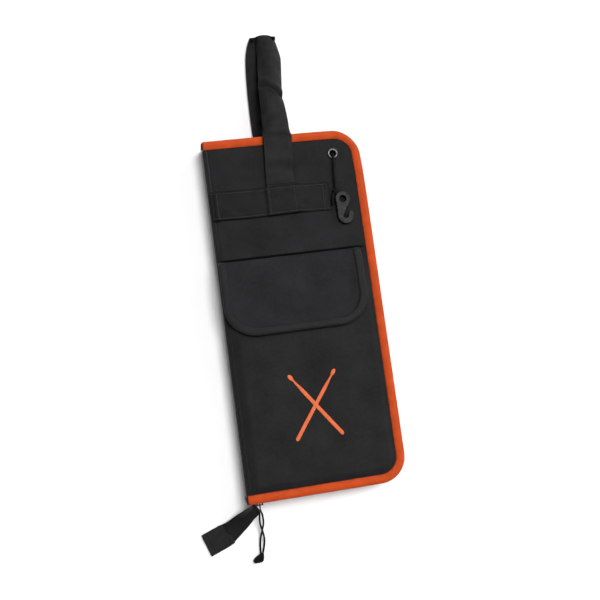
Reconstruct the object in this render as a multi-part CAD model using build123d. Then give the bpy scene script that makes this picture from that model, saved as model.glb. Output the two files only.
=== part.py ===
"""Drum stick bag: a zipped, padded case for two rows of drum sticks.

The bag lies closed on its back panel.  X runs across it from the spine, Y runs up it from the bottom edge
and Z is up.  Shapes are drawn with X = 0 at the spine and Y = 0 at the bottom edge, and then moved so that
the origin is the middle of the back panel's outer face.  All sizes are millimetres.
"""

from build123d import *
import math
import os

# Whole bag
WIDTH = 210.0
HEIGHT = 470.0
DEPTH = 32.0          # outer face of the back panel to outer face of the front panel
CORNER_R = 34.0       # the two corners on the opening side
ORIGIN = Location((-WIDTH / 2, -HEIGHT / 2, 0))

# Panel layers
SHELL = 0.9
FOAM = 3.0
LINING = 0.6
PANEL = SHELL + FOAM + LINING
PANEL_INSET = 1.2     # panel edge to the binding's outer edge
FOAM_INSET = 2.4
FOLD = 4.6            # padding stops this far from a fold line
FIT = 0.1             # gap between neighbouring pieces that move apart

# Edge binding
BIND = 0.8
BIND_OUTER = 11.0
BIND_INNER = 8.0

# Zip
TAPE_INSET = 2.0
TAPE = 0.8
COIL_INSET = 1.3
COIL_W = 2.2
COIL_H = 1.6
CHAIN_GAP = 2.4       # the two coils stand apart, as on an open zip
SIDE_X = 5.0          # the side wall starts clear of the spine
SLIDER_X = 16.0
SLIDER_L = 12.0
SLIDER_H = 8.0
FRONT_COIL_X = 26.0   # the front coil starts past the parked slider
SLIDER_PLATE = 1.3
SLIDER_POST_L = 3.0
BRIDGE_L = 8.8
BRIDGE_HOLE_L = 5.2
BRIDGE_THICK = 2.0
BRIDGE_REACH = 1.9    # bridge's outer face beyond the middle of the pull's bar
BRIDGE_GAP = 0.9
PULL_Y = -3.5
PULL_BAR_R = 0.7
PULL_END_Y = -14.0
PULL_END_L = 2.0
PULL_END_W = 2.8
PULL_ARM_W = 1.4
PULL_ARMS_Z = (1.8, 3.0)

# Zip tail: middle of the tape at each station, and its turn from upright towards flat
TAIL_WIDTH = 26.0
TAIL_TAPE = 1.2
TAIL_STATIONS = [
    ((8.5, -1.6, 16.0), 0),
    ((7.8, -5.0, 16.0), 20),
    ((6.8, -10.6, 12.0), 50),
    ((-3.5, -20.5, 7.5), 68),
    ((-14.5, -30.3, 3.0), 82),
    ((-24.3, -35.9, 0.6), 88),
]
TAB_LENGTH = 34.0
TAB_WIDTH = 30.0
TAB_THICK = 3.2
TAB_EDGE_R = 1.0
TAB_CENTRE = (-41.3, -42.7, -3.0)
TAB_TURN = 20.0

# Webbing
WEB = 1.5
WEB_W = 38.0
BAND_X = (1.5, 159.5)
BAND_Y = 363.0
LEG_Y = 364.0
LEG_THICK = 1.6
LEG_TOP_Y = 474.0
FRONT_LEG_X = 97.5
BACK_LEG_X = 92.0
LOOP_X = 99.0
LOOP_ROUTE = [
    (474.3, 33.7), (512.0, 31.0), (566.0, 17.0), (615.0, 6.4),
    (622.0, 1.3), (615.0, -3.9), (548.0, -3.6), (474.3, -1.7),
]
LOOP_RADII = [60.0, 60.0, 6.0, 4.2, 6.0, 60.0]

# Eyelets and tom hooks
EYELET = (171.8, 438.5)
EYELET_R = 7.0
EYELET_HOLE_R = 3.75
EYELET_BARREL_R = 4.4
EYELET_FLANGE = 0.7
CORD_R = 1.5
HOOK_LIFT = 1.7       # hook's near face above the panel
HOOK_THICK = 4.0
RING = (175.6, 375.0)
RING_R = 9.6
RING_HOLE_R = 4.9
JAW = (176.9, 352.4)
JAW_R = 10.3
JAW_HOLE_R = 3.6
JAW_MOUTH = [(-3.0, 0.8), (2.6, 12.0), (14.0, 17.0), (14.0, 5.6), (6.6, 5.6), (3.6, 0.4)]   # from the jaw's middle
SHANK_TOP = [(-9.0, -2.5), (6.4, -7.0)]                                                    # from the ring's middle
SHANK_LOW = [(3.0, 9.5), (-2.4, -1.0)]                                                     # from the jaw's middle
RING_KNOT = (167.0, 386.4)
RING_KNOT_SIZE = (7.0, 6.0)
RING_KNOT_TURN = -35.0
RING_KNOT_EDGE_R = 1.9
KNOT_TAIL = [(162.2, 378.8), (161.6, 369.0)]
STOP_KNOT_R = 4.8
STOP_KNOT_H = 5.6
STOP_KNOT_EDGE_R = 2.6
CORD_ROUTE = [(171.8, 438.5), (170.4, 426.0), (168.9, 413.0), (168.4, 400.5), (168.0, 389.6)]

# Pull cord: two strands, crossing once, as offsets from one middle line
PULL_CORD_R = 1.2
PULL_MIDDLE = [(15.8, -14.9), (15.9, -26.5), (15.6, -40.0), (14.6, -55.0), (12.0, -69.5)]
STRAND_A = [(-1.4, 15.8), (-3.2, 11.8), (0.4, 7.8), (3.6, -1.6), (1.4, -4.3)]
STRAND_B = [(1.4, 15.8), (3.4, 10.8), (-0.4, 3.8), (-3.6, -2.6), (-1.4, -4.3)]
PULL_KNOT = (8.4, -75.4, -2.5)
PULL_KNOT_SIZE = (15.5, 9.8, 6.0)
PULL_KNOT_TURN = 35.0
PULL_KNOT_EDGE_R = 2.8

# Inside and outside pockets
STICK_INSET = 9.0
STICK_LEFT = 10.0
STICK_TOP = 300.0
STICK_DEPTH = 15.5
DIVIDER_X = 104.0
CLOTH = 0.9
POCKET_TOP = 302.0
POCKET_DEPTH = 5.0
POCKET_CLOTH = 1.0
POCKET_INSET = 3.5
POCKET_LEFT = 2.0
POCKET_FOOT = 0.6     # strip of the gusset beside the binding
MOUTH_TAPE_W = 8.0
MOUTH_TAPE = 0.6

# Flap
FLAP_X = (1.5, 195.0)
FLAP_Y = (211.0, 308.5)
FLAP_CLOTH = 1.2
FLAP_BIND = 0.4
FLAP_BIND_W = 10.0
FLAP_CORNER_R = 36.0
FLAP_Z = DEPTH + POCKET_DEPTH + POCKET_CLOTH + 1.2
STRIP_X = (50.0, 150.0)
STRIP_Y = (226.0, 246.0)
STRIP = 0.55
SEAM_Y = (310.5, 320.5)
SEAM = 0.8

# Printed motif: crossed drum sticks
MOTIF = (102.0, 112.5)
MOTIF_LENGTH = 104.0
MOTIF_TURN = 36.0
MOTIF_INK = 0.25
STICK_HALF_W = 2.4
NECK_HALF_W = 1.2
TIP_HALF_W = 2.5
SHOULDER, NECK, TIP_MIDDLE, TIP_HALF_L = 0.62, 0.86, 0.92, 0.1   # shares of half the stick's length


def outline_plate(left, inset, low, high):
    """A plate with the bag's outline, moved in by inset, from one height to another."""
    with BuildPart() as plate:
        with BuildSketch(Plane.XY.offset(low)):
            with Locations((left, inset)):
                Rectangle(WIDTH - inset - left, HEIGHT - 2 * inset, align=(Align.MIN, Align.MIN))
            fillet(vertices().group_by(Axis.X)[-1], CORNER_R - inset)
        extrude(amount=high - low)
    return plate.part


def block(x, y, z):
    """A box from pairs of low and high values."""
    return Pos(x[0], y[0], z[0]) * Box(
        x[1] - x[0], y[1] - y[0], z[1] - z[0], align=(Align.MIN, Align.MIN, Align.MIN)
    )


def rim(left, inset, width, low, high):
    """A wall along the bag's outline on its three open sides."""
    outer = outline_plate(left, inset, low, high)
    return outer - outline_plate(left - 1, inset + width, low - 1, high + 1)


def post(centre, radius, low, high):
    """An upright cylinder."""
    return Pos(centre[0], centre[1], (low + high) / 2) * Cylinder(radius, high - low)


def turned_over(shape):
    """The same shape on the other panel: mirrored about the bag's mid height."""
    return mirror(shape, Plane.XY.offset(DEPTH / 2))


# The pieces that both panels have are drawn for the back panel, whose outer face is Z = 0.


def shell():
    plate = outline_plate(0, PANEL_INSET, 0, SHELL)
    return plate - post(EYELET, EYELET_BARREL_R, -1, SHELL + 1)


def foam():
    plate = outline_plate(FOLD, FOAM_INSET, SHELL, SHELL + FOAM)
    return plate - post(EYELET, EYELET_BARREL_R, 0, PANEL)


def lining():
    plate = outline_plate(FOLD, PANEL_INSET, PANEL - LINING, PANEL)
    return plate - post(EYELET, EYELET_BARREL_R, 0, PANEL + 1)


def binding():
    """Folded tape that wraps the panel's edge: an outer leg, the edge and a shorter inner leg."""
    solid = outline_plate(0, 0, -BIND, PANEL + BIND)
    solid -= outline_plate(-1, PANEL_INSET, 0, PANEL)
    solid -= outline_plate(-1, BIND_OUTER, -BIND - 1, 0)
    solid -= outline_plate(-1, BIND_INNER, PANEL, PANEL + BIND + 1)
    return solid - block((-1, FOLD), (-1, HEIGHT + 1), (SHELL, PANEL + BIND + 1))


def zip_tape():
    coil_low = (DEPTH - CHAIN_GAP) / 2 - COIL_H
    return rim(SIDE_X, TAPE_INSET, TAPE, PANEL + BIND, coil_low)


def zip_coil():
    coil_high = (DEPTH - CHAIN_GAP) / 2
    return rim(SIDE_X, COIL_INSET, COIL_W, coil_high - COIL_H, coil_high)


def webbing_band(leg_x):
    """Webbing sewn flat to the panel, which rises over the handle's leg."""
    rise = BIND + LEG_THICK + 2 * FIT
    left, right = leg_x - WEB_W / 2 - 2 * FIT, leg_x + WEB_W / 2 + 2 * FIT
    half = [
        (BAND_X[0], 0), (left, 0), (left, -rise), (right, -rise), (right, 0), (BAND_X[1], 0),
        (BAND_X[1], -WEB), (right + WEB, -WEB), (right + WEB, -rise - WEB),
        (left - WEB, -rise - WEB), (left - WEB, -WEB), (BAND_X[0], -WEB),
    ]
    face = make_face(Polyline(*half, close=True))
    return extrude(Plane(origin=(0, BAND_Y, 0), x_dir=(1, 0, 0), z_dir=(0, -1, 0)) * face, amount=-WEB_W)


def eyelet():
    """Outer flange and the barrel that goes through the panel."""
    solid = post(EYELET, EYELET_R, -EYELET_FLANGE, 0)
    solid += post(EYELET, EYELET_BARREL_R - FIT / 2, -EYELET_FLANGE, PANEL)
    return solid - post(EYELET, EYELET_HOLE_R, -2, PANEL + 2)


def eyelet_washer():
    solid = post(EYELET, EYELET_R, PANEL, PANEL + EYELET_FLANGE)
    return solid - post(EYELET, EYELET_HOLE_R, 0, PANEL + 2)


def tube(points, radii, radius):
    """A round tube along straight runs joined by tangent arcs."""
    path = FilletPolyline(*points, radius=radii)
    section = Plane(origin=path @ 0, z_dir=path % 0) * Circle(radius)
    solid = sweep(section, path=path)
    expected = math.pi * radius**2 * path.length
    print(f"tube length {path.length:.1f} radii {[round(r, 1) for r in radii]}", end=" ")
    print(f"volume {solid.volume:.1f} of {expected:.1f}")
    return solid


def corner_radii(points):
    """The largest tidy arc at each corner: 0.45 of the shorter run over the tangent of half the turn."""
    radii = []
    for before, here, after in zip(points, points[1:], points[2:]):
        run_in = Vector(*here) - Vector(*before)
        run_out = Vector(*after) - Vector(*here)
        half_turn = math.radians(run_in.get_angle(run_out)) / 2
        radii.append(0.45 * min(run_in.length, run_out.length) / math.tan(half_turn))
    return radii


def cord_level():
    """Middle of the tom hook and its cord, below the back panel."""
    return -HOOK_LIFT - HOOK_THICK / 2


def elastic_cord():
    """Comes through the eyelet from its stop knot, turns over its rim and runs to the knot at the ring."""
    level = cord_level()
    points = [(*EYELET, PANEL + EYELET_FLANGE), (*EYELET, level)]
    points += [(x, y, level) for x, y in CORD_ROUTE[1:]]
    return tube(points, corner_radii(points), CORD_R)


def stop_knot():
    """Flat round knot that can't pull through the eyelet."""
    low = PANEL + EYELET_FLANGE
    solid = post(EYELET, STOP_KNOT_R, low, low + STOP_KNOT_H)
    return fillet(solid.edges(), STOP_KNOT_EDGE_R)


def ring_knot():
    """Knot beside the hook's ring, with its short tail."""
    level = cord_level()
    knot = Pos(*RING_KNOT, level) * Rot(0, 0, RING_KNOT_TURN) * Box(*RING_KNOT_SIZE, HOOK_THICK)
    tail = [(x, y, level) for x, y in [RING_KNOT, *KNOT_TAIL]]
    return fillet(knot.edges(), RING_KNOT_EDGE_R) + tube(tail, corner_radii(tail), CORD_R)


def beside(centre, offsets):
    """Points given as offsets from a centre."""
    return [(centre[0] + dx, centre[1] + dy) for dx, dy in offsets]


def tom_hook():
    """Flat moulded hook: a ring for the cord, a shank and a J-shaped jaw that opens towards the ring."""
    shank = beside(JAW, [(-JAW_R, 0)]) + beside(RING, SHANK_TOP) + beside(JAW, SHANK_LOW)
    with BuildPart() as hook:
        with BuildSketch(Plane.XY.offset(-HOOK_LIFT - HOOK_THICK)):
            with Locations(RING):
                Circle(RING_R)
            with Locations(JAW):
                Circle(JAW_R)
            with BuildLine():
                Polyline(*shank, close=True)
            make_face()
            with Locations(RING):
                Circle(RING_HOLE_R, mode=Mode.SUBTRACT)
            with Locations(JAW):
                Circle(JAW_HOLE_R, mode=Mode.SUBTRACT)
            with BuildLine():
                Polyline(*beside(JAW, JAW_MOUTH), close=True)
            make_face(mode=Mode.SUBTRACT)
        extrude(amount=HOOK_THICK)
    return hook.part


# Spine


def spine_layer(x_low, x_high, end):
    return block((x_low, x_high), (0, HEIGHT), (end, DEPTH - end))


# Handle


def handle_leg(middle):
    """The sewn tail of one leg, between the back panel and its webbing band."""
    x = (middle - WEB_W / 2, middle + WEB_W / 2)
    top = -BIND - FIT
    return block(x, (LEG_Y, LEG_TOP_Y), (top - LEG_THICK, top))


def handle_loop():
    """The free part of the handle, a webbing strip folded back on itself."""
    points = [(LOOP_X, y, z) for y, z in LOOP_ROUTE]
    path = FilletPolyline(*points, radius=LOOP_RADII)
    section = Plane(origin=path @ 0, x_dir=(1, 0, 0), z_dir=path % 0) * Rectangle(WEB_W, LEG_THICK)
    return sweep(section, path=path)


# Pockets and flap


def stick_tray(left, inset, low, high, top):
    return outline_plate(left, inset, low, high) - block((-9, WIDTH), (top, HEIGHT), (low - 1, high + 1))


def stick_pocket_face():
    """Inside pocket: a face with a gusset on three sides, open at the top."""
    solid = stick_tray(STICK_LEFT, STICK_INSET, PANEL, PANEL + STICK_DEPTH + CLOTH, STICK_TOP)
    hollow = stick_tray(STICK_LEFT + CLOTH, STICK_INSET + CLOTH, PANEL, PANEL + STICK_DEPTH, STICK_TOP + 9)
    return solid - hollow


def stick_pocket_divider():
    return block(
        (DIVIDER_X, DIVIDER_X + CLOTH), (STICK_INSET + CLOTH, STICK_TOP - 1), (PANEL, PANEL + STICK_DEPTH)
    )


def stick_pocket_binding():
    """Folded tape over the pocket face's top edge."""
    low = PANEL + STICK_DEPTH
    face_z = (low, low + CLOTH)
    below = STICK_TOP - MOUTH_TAPE_W
    x = (STICK_LEFT + 1, WIDTH - STICK_INSET - 1)
    solid = block(x, (below, STICK_TOP + MOUTH_TAPE + FIT), (low - MOUTH_TAPE, low + CLOTH + MOUTH_TAPE))
    solid -= block((0, WIDTH), (below - 1, STICK_TOP), face_z)
    divider_x = (DIVIDER_X - FIT, DIVIDER_X + CLOTH + FIT)
    return solid - block(divider_x, (below - 1, STICK_TOP + 1), (low - 1, low))


def accessory_pocket_face():
    """Outside pocket: a face and a low gusset on three sides, open under the flap."""
    top = DEPTH + POCKET_DEPTH
    solid = stick_tray(POCKET_LEFT, POCKET_INSET, DEPTH, top + POCKET_CLOTH, POCKET_TOP)
    solid -= stick_tray(POCKET_LEFT + CLOTH, BIND_OUTER + POCKET_FOOT, DEPTH, top, POCKET_TOP + 9)
    solid -= outline_plate(-1, -1, DEPTH, DEPTH + BIND)
    foot = rim(POCKET_LEFT, BIND_OUTER, POCKET_FOOT, DEPTH, DEPTH + BIND)
    return solid + (foot - block((0, WIDTH), (POCKET_TOP, HEIGHT), (DEPTH - 1, top)))


def pocket_loop_strip():
    low = DEPTH + POCKET_DEPTH + POCKET_CLOTH
    return block(STRIP_X, STRIP_Y, (low, low + STRIP))


def drum_stick():
    """Outline of one stick, as a thin print: a tapering shaft with a shoulder, and an oval tip."""
    half = MOTIF_LENGTH / 2
    with BuildPart() as stick:
        with BuildSketch(Plane.XY):
            with BuildLine():
                Polyline(
                    (-half, STICK_HALF_W), (half * SHOULDER, STICK_HALF_W), (half * NECK, NECK_HALF_W),
                    (half * NECK, -NECK_HALF_W), (half * SHOULDER, -STICK_HALF_W), (-half, -STICK_HALF_W),
                    close=True,
                )
            make_face()
            with Locations((half * TIP_MIDDLE, 0)):
                Ellipse(half * TIP_HALF_L, TIP_HALF_W)
        extrude(amount=MOTIF_INK)
    return stick.part


def printed_motif():
    low = DEPTH + POCKET_DEPTH + POCKET_CLOTH
    place = Pos(*MOTIF, low)
    return place * Rot(0, 0, MOTIF_TURN) * drum_stick() + place * Rot(0, 0, 180 - MOTIF_TURN) * drum_stick()


def flap_plate(edge, low, high):
    with BuildPart() as plate:
        with BuildSketch(Plane.XY.offset(low)):
            with Locations((FLAP_X[0] + edge, FLAP_Y[0] + edge)):
                width = FLAP_X[1] - FLAP_X[0] - 2 * edge
                Rectangle(width, FLAP_Y[1] - FLAP_Y[0] - edge, align=(Align.MIN, Align.MIN))
            fillet(vertices().group_by(Axis.Y)[0], FLAP_CORNER_R - edge)
        extrude(amount=high - low)
    return plate.part


def pocket_flap():
    return flap_plate(FLAP_BIND * 2, FLAP_Z, FLAP_Z + FLAP_CLOTH)


def flap_binding():
    """Folded tape around the flap's two sides and bottom."""
    low, high = FLAP_Z - FLAP_BIND / 2, FLAP_Z + FLAP_CLOTH + FLAP_BIND
    solid = flap_plate(0, low, high) - pocket_flap()
    inner = flap_plate(FLAP_BIND_W, low - 1, high + 1)
    solid -= inner + Pos(0, FLAP_BIND_W, 0) * inner
    return solid


def flap_hook_strip():
    return block(STRIP_X, STRIP_Y, (FLAP_Z - STRIP, FLAP_Z))


def flap_seam_strip():
    """The flap's sewn-down edge on the front panel."""
    return block((FLAP_X[0] + 1, FLAP_X[1] - 1), SEAM_Y, (DEPTH, DEPTH + SEAM))


# Zip parts


def about(middle, length):
    """Low and high value of a length about its middle."""
    return (middle - length / 2, middle + length / 2)


def slider_body():
    """Two plates joined by a post that passes between the coils, and a bridge for the pull."""
    middle = DEPTH / 2
    x, z = about(SLIDER_X, SLIDER_L), about(middle, SLIDER_H)
    outer_y = COIL_INSET - FIT
    inner_y = COIL_INSET + COIL_W + FIT
    face_y = outer_y - SLIDER_PLATE
    solid = block(x, (face_y, outer_y), z) + block(x, (inner_y, inner_y + SLIDER_PLATE), z)
    solid += block(about(SLIDER_X, SLIDER_POST_L), (outer_y, inner_y), about(middle, CHAIN_GAP - 2 * FIT))
    bridge = block(about(SLIDER_X, BRIDGE_L), (PULL_Y - BRIDGE_REACH, face_y), about(middle, BRIDGE_THICK))
    bridge -= block(about(SLIDER_X, BRIDGE_HOLE_L), (PULL_Y - BRIDGE_GAP, face_y), about(middle, SLIDER_H))
    return solid + bridge


def pull_tab():
    """A small closed loop: a bar under the slider's bridge, two arms and an end bar for the cord."""
    middle = DEPTH / 2
    near, far = PULL_ARMS_Z
    solid = Pos(SLIDER_X, PULL_Y, middle) * Cylinder(PULL_BAR_R, 2 * far)
    for z in ((middle - far, middle - near), (middle + near, middle + far)):
        solid += block(about(SLIDER_X, PULL_ARM_W), (PULL_END_Y + PULL_END_L, PULL_Y), z)
    end = block(about(SLIDER_X, PULL_END_W), (PULL_END_Y, PULL_END_Y + PULL_END_L), about(middle, 2 * far))
    return solid + end


def pull_strand(offsets):
    points = [(x + dx, y, z) for (x, y), (dx, z) in zip(PULL_MIDDLE, offsets)]
    return tube(points, corner_radii(points), PULL_CORD_R)


def pull_knot():
    solid = Pos(*PULL_KNOT) * Rot(0, 0, PULL_KNOT_TURN) * Box(*PULL_KNOT_SIZE)
    return fillet(solid.edges(), PULL_KNOT_EDGE_R)


def zip_tail_tape():
    """The closed zip beyond the bag: a strip that twists from upright to flat as it drops."""
    centres = [Vector(*centre) for centre, _ in TAIL_STATIONS]
    sections = []
    for index, (_, turn) in enumerate(TAIL_STATIONS):
        ahead = centres[min(index + 1, len(centres) - 1)]
        behind = centres[max(index - 1, 0)]
        heading = (ahead - behind).normalized()
        level = Vector(heading.Y, -heading.X, 0).normalized()
        upright = heading.cross(level).normalized()
        across = upright * math.cos(math.radians(turn)) - level * math.sin(math.radians(turn))
        plane = Plane(origin=centres[index], x_dir=across, z_dir=heading)
        sections.append(plane * Rectangle(TAIL_WIDTH, TAIL_TAPE))
    return loft(sections, ruled=True)


def zip_end_tab():
    tab = fillet(Box(TAB_LENGTH, TAB_WIDTH, TAB_THICK).edges(), TAB_EDGE_R)
    return Pos(*TAB_CENTRE) * Rot(0, 0, TAB_TURN) * tab


def front_coil():
    cut = block((0, FRONT_COIL_X), (0, HEIGHT / 2), (0, DEPTH))
    return turned_over(zip_coil()) - cut


def build_nodes():
    """Every node's solid, by name."""
    nodes = {
        "stick_pocket_face": stick_pocket_face(),
        "stick_pocket_divider": stick_pocket_divider(),
        "stick_pocket_binding": stick_pocket_binding(),
        "zip_tail_tape": zip_tail_tape(),
        "zip_end_tab": zip_end_tab(),
        "spine_shell": spine_layer(0, SHELL, SHELL + FIT),
        "spine_foam": spine_layer(SHELL, SHELL + FOAM, FOLD + 0.4),
        "spine_lining": spine_layer(SHELL + FOAM, PANEL, FOLD + 0.1),
        "handle_loop": handle_loop(),
        "handle_back_leg": handle_leg(BACK_LEG_X),
        "handle_front_leg": turned_over(handle_leg(FRONT_LEG_X)),
        "accessory_pocket_face": accessory_pocket_face(),
        "pocket_loop_strip": pocket_loop_strip(),
        "printed_motif": printed_motif(),
        "flap_seam_strip": flap_seam_strip(),
        "pocket_flap": pocket_flap(),
        "flap_binding": flap_binding(),
        "flap_hook_strip": flap_hook_strip(),
        "zip_slider": slider_body(),
        "zip_pull_tab": pull_tab(),
        "zip_pull_cord_a": pull_strand(STRAND_A),
        "zip_pull_cord_b": pull_strand(STRAND_B),
        "zip_pull_knot": pull_knot(),
        "back_webbing_band": webbing_band(BACK_LEG_X),
        "front_webbing_band": turned_over(webbing_band(FRONT_LEG_X)),
        "front_zip_coil": front_coil(),
        "back_zip_coil": zip_coil(),
    }
    both_panels = {
        "shell": shell, "foam": foam, "lining": lining, "binding": binding, "zip_tape": zip_tape,
        "eyelet": eyelet, "eyelet_washer": eyelet_washer,
        "elastic_cord": elastic_cord, "stop_knot": stop_knot, "ring_knot": ring_knot, "tom_hook": tom_hook,
    }
    for name, make in both_panels.items():
        nodes["back_" + name] = make()
        nodes["front_" + name] = turned_over(nodes["back_" + name])
    return nodes


os.makedirs("parts", exist_ok=True)
for node, solid in build_nodes().items():
    export_step(ORIGIN * solid, f"parts/{node}.step")
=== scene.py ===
"""Looks of the drum stick bag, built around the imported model.

Everything is in metres in the model's own frame.  Places on the bag are written as distances from the
spine and from the bottom edge, and at() turns them into the frame.
"""
import math

import bmesh
import bpy
import numpy as np
from mathutils import Matrix, Vector, noise


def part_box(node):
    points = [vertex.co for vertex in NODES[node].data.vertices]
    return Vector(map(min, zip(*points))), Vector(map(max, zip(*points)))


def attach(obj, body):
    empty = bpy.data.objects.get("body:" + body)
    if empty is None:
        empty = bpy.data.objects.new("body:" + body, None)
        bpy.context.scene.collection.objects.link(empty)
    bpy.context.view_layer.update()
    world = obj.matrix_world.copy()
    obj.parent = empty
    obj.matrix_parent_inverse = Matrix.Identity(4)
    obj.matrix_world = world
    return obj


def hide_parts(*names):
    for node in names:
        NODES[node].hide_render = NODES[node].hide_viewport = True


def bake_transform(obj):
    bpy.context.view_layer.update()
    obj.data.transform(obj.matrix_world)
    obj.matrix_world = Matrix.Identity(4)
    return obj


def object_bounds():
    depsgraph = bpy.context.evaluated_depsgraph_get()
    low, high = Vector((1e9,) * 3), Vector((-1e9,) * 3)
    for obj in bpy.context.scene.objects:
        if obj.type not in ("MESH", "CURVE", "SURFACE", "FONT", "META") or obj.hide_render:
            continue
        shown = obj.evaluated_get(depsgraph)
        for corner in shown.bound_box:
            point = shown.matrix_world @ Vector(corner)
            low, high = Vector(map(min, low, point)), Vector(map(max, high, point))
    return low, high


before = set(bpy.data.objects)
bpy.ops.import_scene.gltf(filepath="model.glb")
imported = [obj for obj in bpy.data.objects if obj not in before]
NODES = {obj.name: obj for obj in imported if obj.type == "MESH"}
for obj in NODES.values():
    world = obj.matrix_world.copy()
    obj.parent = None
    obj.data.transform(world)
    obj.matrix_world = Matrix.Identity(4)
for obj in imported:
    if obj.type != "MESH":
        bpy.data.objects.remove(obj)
CAD_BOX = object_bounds()

# Places and sizes that everything hangs on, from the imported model
RIM_LOW, RIM_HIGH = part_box("front_binding")
WIDTH = RIM_HIGH.x - RIM_LOW.x
HEIGHT = RIM_HIGH.y - RIM_LOW.y
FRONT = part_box("front_shell")[1].z
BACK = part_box("back_shell")[0].z
THICK = FRONT - BACK
FLOOR = CAD_BOX[0].z - 0.0006
CORNER = 0.034
EYELET = (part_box("front_eyelet")[0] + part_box("front_eyelet")[1]) / 2
EYELET_X, EYELET_Y = EYELET.x - RIM_LOW.x, EYELET.y - RIM_LOW.y
FOLD_SEAM = 0.0056           # the stitch row beside the spine's fold
UP = Vector((0, 0, 1))


def at(x, y, z=0.0):
    """A point given from the spine, the bottom edge and the back panel's outer face."""
    return Vector((RIM_LOW.x + x, RIM_LOW.y + y, BACK + z))


def smooth(t):
    """0 below 0, 1 above 1, and an even ramp between, for a number or an array."""
    t = np.clip(t, 0, 1)
    return t * t * (3 - 2 * t)


def ripple(x, y, scale, seed):
    """Smooth noise, about -1 to 1, of a place given in metres and a size of wrinkle."""
    return noise.noise(Vector((x / scale, y / scale, seed)))


def link(name, data):
    """A new object in the scene."""
    obj = bpy.data.objects.new(name, data)
    bpy.context.scene.collection.objects.link(obj)
    return obj


# Camera and cords

CAMERA_AT = (-0.1528, -0.0636, 1.0099)
CAMERA_TURN = (-4.533, 8.637, 7.126)
LENS = 45.7


def camera():
    data = bpy.data.cameras.new("camera")
    data.sensor_width = 36
    data.lens = LENS
    data.clip_start = 0.01
    obj = link("camera", data)
    x, y, z = (math.radians(v) for v in CAMERA_TURN)
    turn = Matrix.Rotation(z, 3, "Z") @ Matrix.Rotation(y, 3, "Y") @ Matrix.Rotation(x, 3, "X")
    obj.matrix_world = Matrix.Translation(CAMERA_AT) @ turn.transposed().to_4x4()
    bpy.context.scene.camera = obj


def nurbs(name, points, radius):
    """A round cord whose line is a NURBS spline with the route's points."""
    data = bpy.data.curves.new(name, "CURVE")
    data.dimensions = "3D"
    data.bevel_depth = 1
    data.bevel_resolution = 5
    data.resolution_u = 16
    data.use_fill_caps = True
    spline = data.splines.new("NURBS")
    spline.points.add(len(points) - 1)
    for point, place in zip(spline.points, points):
        point.co = (*place, 1)
        point.radius = radius
    spline.order_u = 3
    spline.use_endpoint_u = True
    return link(name, data)


CORD_R = 0.0015
HOOK_LEVEL = 0.0037
ELASTIC_ROUTE = [(0.1718, 0.4385), (0.1704, 0.4260), (0.1689, 0.4130), (0.1684, 0.4005), (0.1680, 0.3896)]
PULL_CORD_R = 0.0012
PULL_MIDDLE = [(0.0158, -0.0149), (0.0159, -0.0265), (0.0156, -0.0400), (0.0146, -0.0550), (0.0120, -0.0695)]
STRAND_A = [(-0.0014, 0.0158), (-0.0032, 0.0118), (0.0004, 0.0078), (0.0036, -0.0016), (0.0014, -0.0043)]
STRAND_B = [(0.0014, 0.0158), (0.0034, 0.0108), (-0.0004, 0.0038), (-0.0036, -0.0026), (-0.0014, -0.0043)]


def panel_side(side):
    """Height of a panel's outer face and its outward direction, for the front or the back."""
    return (FRONT, 1) if side == "front" else (BACK, -1)


def elastic_cord(side):
    face, out = panel_side(side)
    level = face + out * HOOK_LEVEL
    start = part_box(f"{side}_eyelet_washer")[0 if side == "front" else 1].z
    points = [Vector((EYELET.x, EYELET.y, start)), Vector((EYELET.x, EYELET.y, level))]
    points += [Vector((*at(x, y).xy, level)) for x, y in ELASTIC_ROUTE[1:]]
    obj = nurbs(f"{side}_hook_cord", points, CORD_R)
    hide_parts(f"{side}_elastic_cord")
    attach(obj, f"{side}_hook")
    return obj, points


def pull_strand(letter, offsets):
    points = [at(x + dx, y, z) for (x, y), (dx, z) in zip(PULL_MIDDLE, offsets)]
    obj = nurbs(f"pull_cord_{letter}", points, PULL_CORD_R)
    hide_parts(f"zip_pull_cord_{letter}")
    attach(obj, "pull")
    return obj, points


# Materials


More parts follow.
